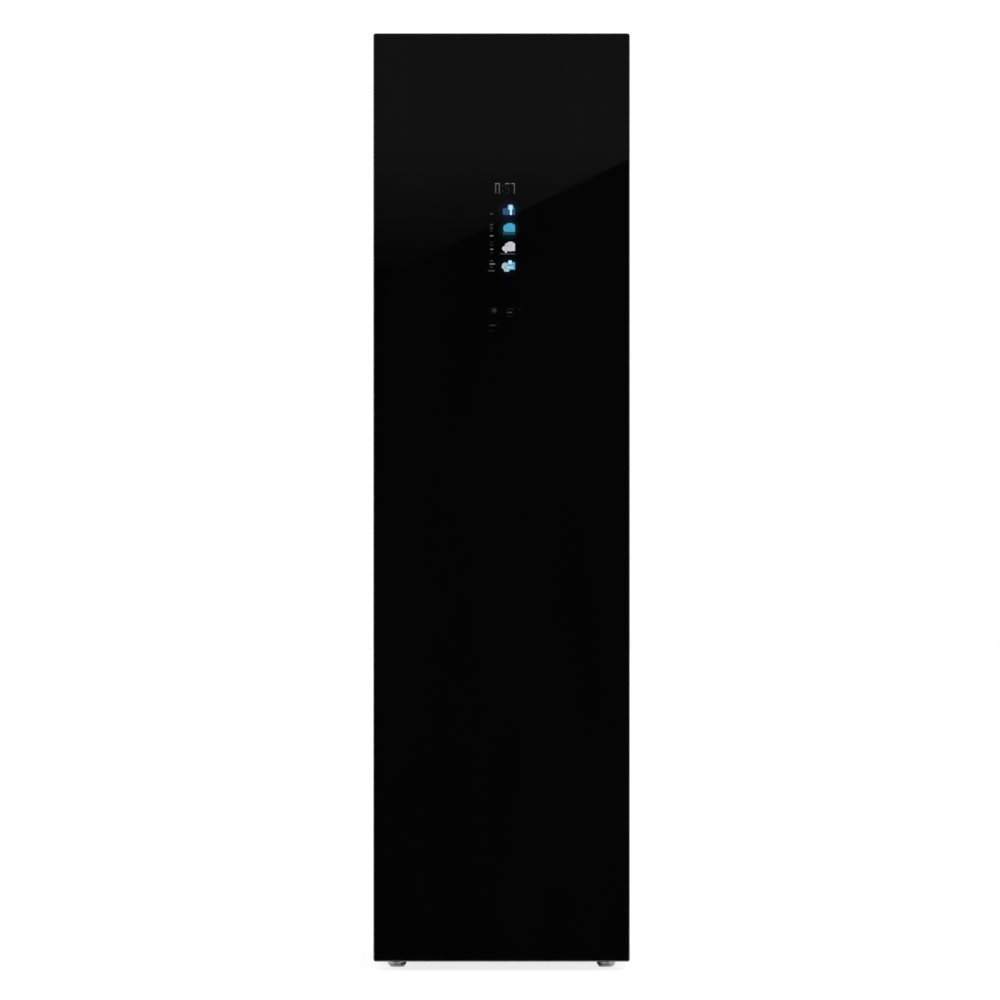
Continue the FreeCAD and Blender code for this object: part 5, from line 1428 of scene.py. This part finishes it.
@dataclass
class Display:
    """The lit time, symbols and rows of the door's display, in the plane of the glass.

    Places and sizes are in millimetres.
    """

    front_y: float = -299.93
    back_y: float = -299.75
    layer_step: float = 0.02
    right_edge: float = 26.5
    digit_top: float = 1554.4
    digit_height: float = 20.8
    stroke: float = 2.1
    stroke_gap: float = 0.1
    colon: tuple[Spot, ...] = (Spot(2.0, 1549.5, 1.3), Spot(2.0, 1539.0, 1.3))
    start_disc: Spot = Spot(-14.9, 1303.1, 6.2)
    start_middle: tuple[float, float] = (-14.4, 1303.1)
    start_radius: float = 3.6
    white: LitMark = LitMark("lit_white", (0.58, 0.59, 0.65))
    time_bar: LitMark = LitMark("lit_time_bar", (0.165, 0.168, 0.155))
    time_stem: LitMark = LitMark("lit_time_stem", (0.100, 0.102, 0.094))
    faint: LitMark = LitMark("lit_faint", (0.009, 0.009, 0.009))
    dim: LitMark = LitMark("lit_dim", (0.020, 0.020, 0.020))
    fair: LitMark = LitMark("lit_fair", (0.048, 0.048, 0.047))
    clear: LitMark = LitMark("lit_clear", (0.190, 0.190, 0.186))
    ice: LitMark = LitMark("lit_ice", (0.36, 0.64, 0.80))
    ice_bright: LitMark = LitMark("lit_ice_bright", (0.52, 0.92, 1.0))
    steel_blue: LitMark = LitMark("lit_steel_blue", (0.030, 0.098, 0.180))
    cyan: LitMark = LitMark("lit_cyan", (0.071, 0.376, 0.61))
    deep_teal: LitMark = LitMark("lit_deep_teal", (0.018, 0.070, 0.098))
    sea_grey: LitMark = LitMark("lit_sea_grey", (0.40, 0.55, 0.60))
    sky_blue: LitMark = LitMark("lit_sky_blue", (0.19, 0.43, 0.645))
    halos: tuple[Glow, ...] = (
        Glow(0.0147, 1.5010, 0.026, (0.003, 0.014, 0.068)),
        Glow(0.0147, 1.4640, 0.026, (0.001, 0.034, 0.046)),
        Glow(0.0147, 1.3910, 0.025, (0.001, 0.012, 0.022)),
    )

    def _lit(self, parts: Iterable[Plate | Spot]) -> Shape:
        """Lit plates and discs in the plane of the glass.

        Args:
            parts: the plates and discs, each as many steps in front of the others as its layer says.

        Returns:
            The shape so far.
        """
        shape = Shape()
        for part in parts:
            front = self.front_y - part.layer * self.layer_step
            if isinstance(part, Plate):
                shape.plate((part.left * MM, front * MM, part.bottom * MM),
                            (part.right * MM, self.back_y * MM, part.top * MM), part.corner * MM, Axis.Y,
                            finish=part.finish)
            else:
                middle = (front + self.back_y) / 2
                shape.disc((part.x * MM, middle * MM, part.z * MM), part.radius * MM,
                           (self.back_y - front) * MM, Axis.Y, part.finish, sides=28)
        return shape

    def mark(self, name: str, parts: Iterable[Plate | Spot], lights: Sequence[LitMark],
             window: bool = False) -> bpy.types.Object:
        """One piece of the display.

        Args:
            name: the piece's name.
            parts: its plates and discs.
            lights: its finishes, in the order of their indexes.
            window: whether the display window's right edge ends it.

        Returns:
            The piece.
        """
        shape = self._lit(parts)
        if window:
            shape.slice((self.right_edge * MM, 0.0, 0.0), (1.0, 0.0, 0.0))
        return shape.finish(name, Body.DOOR, lights, "door_glass")

    def digit(self, name: str, left: float, width: float, segments: Sequence[str]) -> bpy.types.Object:
        """One figure of the time, made of lit segments.

        Args:
            name: the piece's name.
            left: its left edge.
            width: its width.
            segments: letters of the bright, the fair and the faint segments, a to g as usual.

        Returns:
            The figure.
        """
        stroke, top, right = self.stroke, self.digit_top, left + width
        bottom = top - self.digit_height
        middle = (top + bottom) / 2
        places = {
            "a": (left, right, top - stroke, top),
            "b": (right - stroke, right, middle, top - stroke),
            "c": (right - stroke, right, bottom, middle),
            "d": (left, right, bottom, bottom + stroke),
            "e": (left, left + stroke, bottom, middle),
            "f": (left, left + stroke, middle, top - stroke),
            "g": (left, right, middle - stroke / 2, middle + stroke / 2),
        }
        parts = []
        for finish, letters in enumerate(segments):
            for letter in letters:
                x0, x1, z0, z1 = places[letter]
                parts.append(Plate(x0, x1, z0 + self.stroke_gap, z1 - self.stroke_gap, finish=finish))
        return self.mark(name, parts, [self.time_bar, self.time_stem, self.faint])

    def start(self) -> bpy.types.Object:
        """The start symbol at the foot of the display: a triangle on a disc.

        Returns:
            The symbol.
        """
        shape = self._lit([self.start_disc])
        x, z = self.start_middle
        middle = (self.front_y + self.back_y) / 2 - self.layer_step
        triangle = shape.disc((x * MM, middle * MM, z * MM), self.start_radius * MM, 0.2 * MM, Axis.Y, 1, 3)
        bmesh.ops.rotate(shape.mesh, verts=triangle, cent=(x * MM, 0.0, z * MM),
                         matrix=Matrix.Rotation(math.pi / 2, 3, "Y"))
        return shape.finish("symbol_start", Body.DOOR, [self.faint, self.fair], "door_glass")

    def build(self) -> list[bpy.types.Object]:
        """Build everything that is lit.

        Returns:
            The pieces.
        """
        symbols = {
            "symbol_shirt": (SHIRT, [self.ice_bright, self.steel_blue, self.ice]),
            "symbol_drum": (DRUM, [self.cyan, self.deep_teal]),
            "symbol_cloud": (CLOUD, [self.white, self.fair]),
            "symbol_steam": (STEAM, [self.sea_grey, self.sky_blue, self.ice_bright, self.deep_teal]),
        }
        rows = {
            "rows_clear": (CLEAR_ROWS, [self.clear]),
            "rows_fair": (FAIR_ROWS, [self.fair]),
            "rows_dim": (DIM_ROWS, [self.dim]),
            "rows_faint": (FAINT_ROWS, [self.faint]),
        }
        return [
            self.digit("time_hours", -12.7, 9.3, ("a", "bcef", "d")),
            self.mark("time_colon", self.colon, [self.dim]),
            self.digit("time_tens", 7.0, 8.4, ("a", "", "fgcd")),
            self.digit("time_minutes", 19.0, 7.2, ("a", "bc", "")),
            *(self.mark(name, parts, lights, window=True) for name, (parts, lights) in symbols.items()),
            *(self.mark(name, parts, lights) for name, (parts, lights) in rows.items()),
            self.start(),
        ]


@dataclass
class Door(SubAssembly):
    """The glass-fronted door with its frame, grip, liner, seal and display."""

    title: str = "door"
    glass_recess: float = 0.15 * MM
    glass_corner: float = 2.6 * MM
    ground_edge: float = 0.5 * MM
    display: Display = field(default_factory=Display)

    def build(self) -> list[bpy.types.Object]:
        """Build the pane and what is lit on it."""
        return [self.pane(), *self.display.build()]

    def pane(self) -> bpy.types.Object:
        """The tinted pane with ground edges, which stands for its node.

        Returns:
            The pane.
        """
        low, high = corners("door_glass")
        shape = Shape()
        shape.plate((low.x, low.y + self.glass_recess, low.z), (high.x, high.y, high.z), self.glass_corner,
                    Axis.Y, rim=self.ground_edge)
        glass = BlackGlass("black_glass", (0.0009, 0.0009, 0.0009), plane_y=low.y + self.glass_recess,
                           halos=self.display.halos)
        return shape.finish("door_pane", Body.DOOR, [glass], "door_glass", ["door_glass"])

    def coats(self) -> dict[str, Finish]:
        """Anodised frame, white back."""
        return {
            "door_frame": DARK_ANODISED, "door_grip": GRIP_BLACK, "door_liner": DOOR_WHITE,
            "door_gasket": SEAL_RUBBER, "display_board": BOARD_GREEN, "door_hinge_bushes": ACETAL,
        }


@dataclass
class TrouserPress(SubAssembly):
    """The press on the door's back: base with its felt, swinging panel and lever."""

    title: str = "trouser press"
    free_margin: float = 18.6 * MM
    hinge_margin: float = 33.6 * MM
    end_margin: float = 18.6 * MM
    ear_height: float = 14.3 * MM
    board_height: float = 12.0 * MM
    recess: float = 2.4 * MM
    felt_sunk: float = 0.05 * MM
    felt_rim: float = 0.8 * MM
    corner: float = 8.0 * MM

    def build(self) -> list[bpy.types.Object]:
        """Build the felt in the base's recess."""
        return [self.felt()]

    def felt(self) -> bpy.types.Object:
        """The felt pad that the trousers are pressed against.

        Returns:
            The pad.
        """
        low, high = corners("press_base")
        board_y = low.y + self.board_height
        z0 = low.z + self.ear_height + self.end_margin
        z1 = high.z - self.ear_height - self.end_margin
        shape = Shape()
        shape.plate((low.x + self.free_margin, board_y - self.recess, z0),
                    (high.x - self.hinge_margin, board_y - self.felt_sunk, z1), self.corner, Axis.Y,
                    rim=self.felt_rim)
        pad = shape.finish("press_felt_pad", Body.DOOR, [PRESS_FELT], "press_base")
        return pad

    def coats(self) -> dict[str, Finish]:
        """Grey boards, darker lever."""
        return {"press_base": PRESS_GREY, "press_panel": PRESS_GREY, "press_lever": LEVER_GREY}


# ---------------------------------------------------------------- studio
@dataclass
class Studio:
    """Camera, pale floor, soft light, and the dark front and dim card that black glass is shown with."""

    eye: Point = (-0.0031, -9.82, 0.929)
    lens: float = 173.66
    sensor: float = 36.0
    key_place: Point = (3.3, -5.4, 1.5)
    key_power: float = 85.0
    fill_place: Point = (-3.6, -5.4, 1.8)
    fill_power: float = 14.0
    lamp_size: tuple[float, float] = (1.4, 3.4)
    lamp_target: Point = (0.0, 0.0, 0.95)
    sky: float = 0.88
    front_dark: float = 0.0133
    front_range: tuple[float, float] = (-0.88, -0.10)
    right_lean: float = 0.42
    floor_side: float = 40.0
    floor_drop: float = 0.3 * MM
    floor_range: tuple[float, float] = (-0.47, -0.43)
    floor_glow: float = 0.80
    card_middle: Point = (0.0, -8.0, 2.6)
    card_half: float = 2.4
    card_left: Point = (-0.4576, -8.0, 1.7038)
    card_right: Point = (0.4576, -8.0, 2.1467)
    card_fade: tuple[float, float] = (1.738, 2.186)
    card_light: float = 0.130

    def build(self) -> None:
        """Set up the whole studio."""
        self.camera()
        self.world()
        self.floor()
        self.card()
        self.lamp("key_light", self.key_place, self.key_power)
        self.lamp("fill_light", self.fill_place, self.fill_power)
        bpy.context.scene.view_settings.view_transform = "Standard"
        LOG.info("studio: camera, world, floor, card and two lamps")

    def camera(self) -> None:
        """A level camera in front of the door."""
        data = bpy.data.cameras.new("camera")
        data.lens, data.sensor_width = self.lens, self.sensor
        camera = bpy.data.objects.new("camera", data)
        camera.location = self.eye
        camera.rotation_euler = (math.pi / 2, 0.0, 0.0)
        bpy.context.scene.collection.objects.link(camera)
        bpy.context.scene.camera = camera

    def lamp(self, name: str, place: Point, power: float) -> None:
        """A tall soft lamp, aimed at the cabinet's middle.

        Args:
            name: the lamp's name.
            place: where it hangs.
            power: in watts.
        """
        data = bpy.data.lights.new(name, "AREA")
        data.shape = "RECTANGLE"
        data.energy, data.size, data.size_y = power, *self.lamp_size
        lamp = bpy.data.objects.new(name, data)
        lamp.location = place
        lamp.rotation_euler = (Vector(self.lamp_target) - Vector(place)).to_track_quat("-Z", "Y").to_euler()
        lamp.visible_glossy = False
        bpy.context.scene.collection.objects.link(lamp)

    def world(self) -> None:
        """White all round, but dark in front of the door for what is mirrored."""
        world = bpy.data.worlds.new("studio")
        bpy.context.scene.world = world
        world.use_nodes = True
        nodes = Nodes(world.node_tree)
        way = nodes.add("ShaderNodeSeparateXYZ")
        nodes.join(nodes.add("ShaderNodeTexCoord").outputs["Generated"], way.inputs[0])
        lean = nodes.sum("MULTIPLY_ADD", way.outputs["X"], self.right_lean, way.outputs["Y"])
        mirrored = nodes.level(lean, *self.front_range, self.front_dark, 1.0)
        rays = nodes.add("ShaderNodeLightPath")
        light = nodes.mix(rays.outputs["Is Glossy Ray"], self.sky, mirrored)
        seen = nodes.sum("MAXIMUM", rays.outputs["Is Camera Ray"], rays.outputs["Is Transmission Ray"])
        back = nodes.add("ShaderNodeBackground")
        back.inputs["Color"].default_value = (1.0, 1.0, 1.0, 1.0)
        nodes.join(nodes.mix(seen, light, 1.0), back.inputs["Strength"])
        nodes.join(back.outputs[0], nodes.add("ShaderNodeOutputWorld").inputs["Surface"])

    def _stand(self, name: str, mesh: bmesh.types.BMesh, material: bpy.types.Material) -> bpy.types.Object:
        """Put a mesh into the studio.

        Args:
            name: its name.
            mesh: its shape, which is used up.
            material: what it is made of.

        Returns:
            The new object.
        """
        data = bpy.data.meshes.new(name)
        mesh.to_mesh(data)
        mesh.free()
        data.materials.append(material)
        thing = bpy.data.objects.new(name, data)
        bpy.context.scene.collection.objects.link(thing)
        return thing

    def floor(self) -> None:
        """A wide pale floor that keeps the cabinet's shadow."""
        mesh = bmesh.new()
        bmesh.ops.create_grid(mesh, x_segments=8, y_segments=8, size=self.floor_side / 2)
        bmesh.ops.translate(mesh, vec=(0.0, 0.0, -self.floor_drop), verts=mesh.verts)
        floor = self._stand("studio_floor", mesh, self._floor_material())

    def _floor_material(self) -> bpy.types.Material:
        """White to the camera where it is lit, and dark in the door's own mirror image.

        Returns:
            The floor's material.
        """
        recipe = Recipe("studio_floor")
        rays = recipe.add("ShaderNodeLightPath")
        grain = recipe.noise(220.0, 3.0)
        far = recipe.level(recipe.part(Axis.Y), *self.floor_range, 1.0, 0.0)
        mirrored = recipe.sum("MULTIPLY", rays.outputs["Is Glossy Ray"], far)
        tone = recipe.blend(recipe.level(grain, *NOISE_SPREAD), (0.78, 0.78, 0.78), (0.80, 0.80, 0.80))
        tone = recipe.blend(rays.outputs["Is Camera Ray"], tone, (0.36, 0.36, 0.36))
        recipe.shade(Base_Color=recipe.blend(mirrored, tone, (0.0, 0.0, 0.0)), Roughness=0.9,
                     Specular_IOR_Level=0.0)
        glow = recipe.add("ShaderNodeEmission")
        seen = recipe.sum("MULTIPLY", rays.outputs["Is Camera Ray"], self.floor_glow)
        dark = recipe.sum("MULTIPLY", mirrored, self.front_dark)
        recipe.join(recipe.sum("ADD", seen, dark), glow.inputs["Strength"])
        both = recipe.add("ShaderNodeAddShader")
        recipe.join(recipe.shader.outputs["BSDF"], both.inputs[0])
        recipe.join(glow.outputs["Emission"], both.inputs[1])
        recipe.join(both.outputs[0], recipe.output.inputs["Surface"])
        return recipe.material

    def card(self) -> None:
        """A dim card behind the camera, whose slanting lower edge the glass mirrors."""
        left, right = Vector(self.card_left), Vector(self.card_right)
        mesh = bmesh.new()
        matrix = Matrix.Translation(self.card_middle) @ Matrix.Rotation(-math.pi / 2, 4, "X")
        bmesh.ops.create_grid(mesh, x_segments=4, y_segments=4, size=self.card_half, matrix=matrix)
        below = (right - left).cross(Axis.Y.vector)
        if below.z > 0:
            below.negate()
        geometry = list(mesh.verts) + list(mesh.edges) + list(mesh.faces)
        bmesh.ops.bisect_plane(mesh, geom=geometry, plane_co=left, plane_no=below, clear_outer=True)
        card = self._stand("studio_card", mesh, self._card_material())
        card.visible_camera = card.visible_diffuse = card.visible_shadow = card.visible_transmission = False

    def _card_material(self) -> bpy.types.Material:
        """Light that fades towards the card's lower part.

        Returns:
            The card's material.
        """
        recipe = Recipe("studio_card")
        glow = recipe.add("ShaderNodeEmission")
        fade = recipe.level(recipe.part(Axis.Z), *self.card_fade, self.front_dark, self.card_light, "LINEAR")
        recipe.join(fade, glow.inputs["Strength"])
        recipe.join(glow.outputs["Emission"], recipe.output.inputs["Surface"])
        return recipe.material


# ---------------------------------------------------------------- the whole
def clear_defaults() -> None:
    """Remove what a new Blender file holds besides the frame."""
    kept = set(frame["nodes"].values()) | set(frame["bodies"].values())
    for extra in [o for o in bpy.data.objects if o not in kept]:
        bpy.data.objects.remove(extra)


def main() -> None:
    """Dress the cabinet, piece by piece, and set up the studio."""
    logging.basicConfig(level=logging.INFO, format="%(name)s: %(message)s")
    clear_defaults()
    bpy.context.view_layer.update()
    assemblies: list[SubAssembly] = [CabinetShell(), Cabin(), WaterTanks(), HangerDrive(), Machinery(), Feet(),
                                     Door(), TrouserPress()]
    for assembly in assemblies:
        assembly.make()
    Studio().build()


if __name__ == "__main__":
    main()
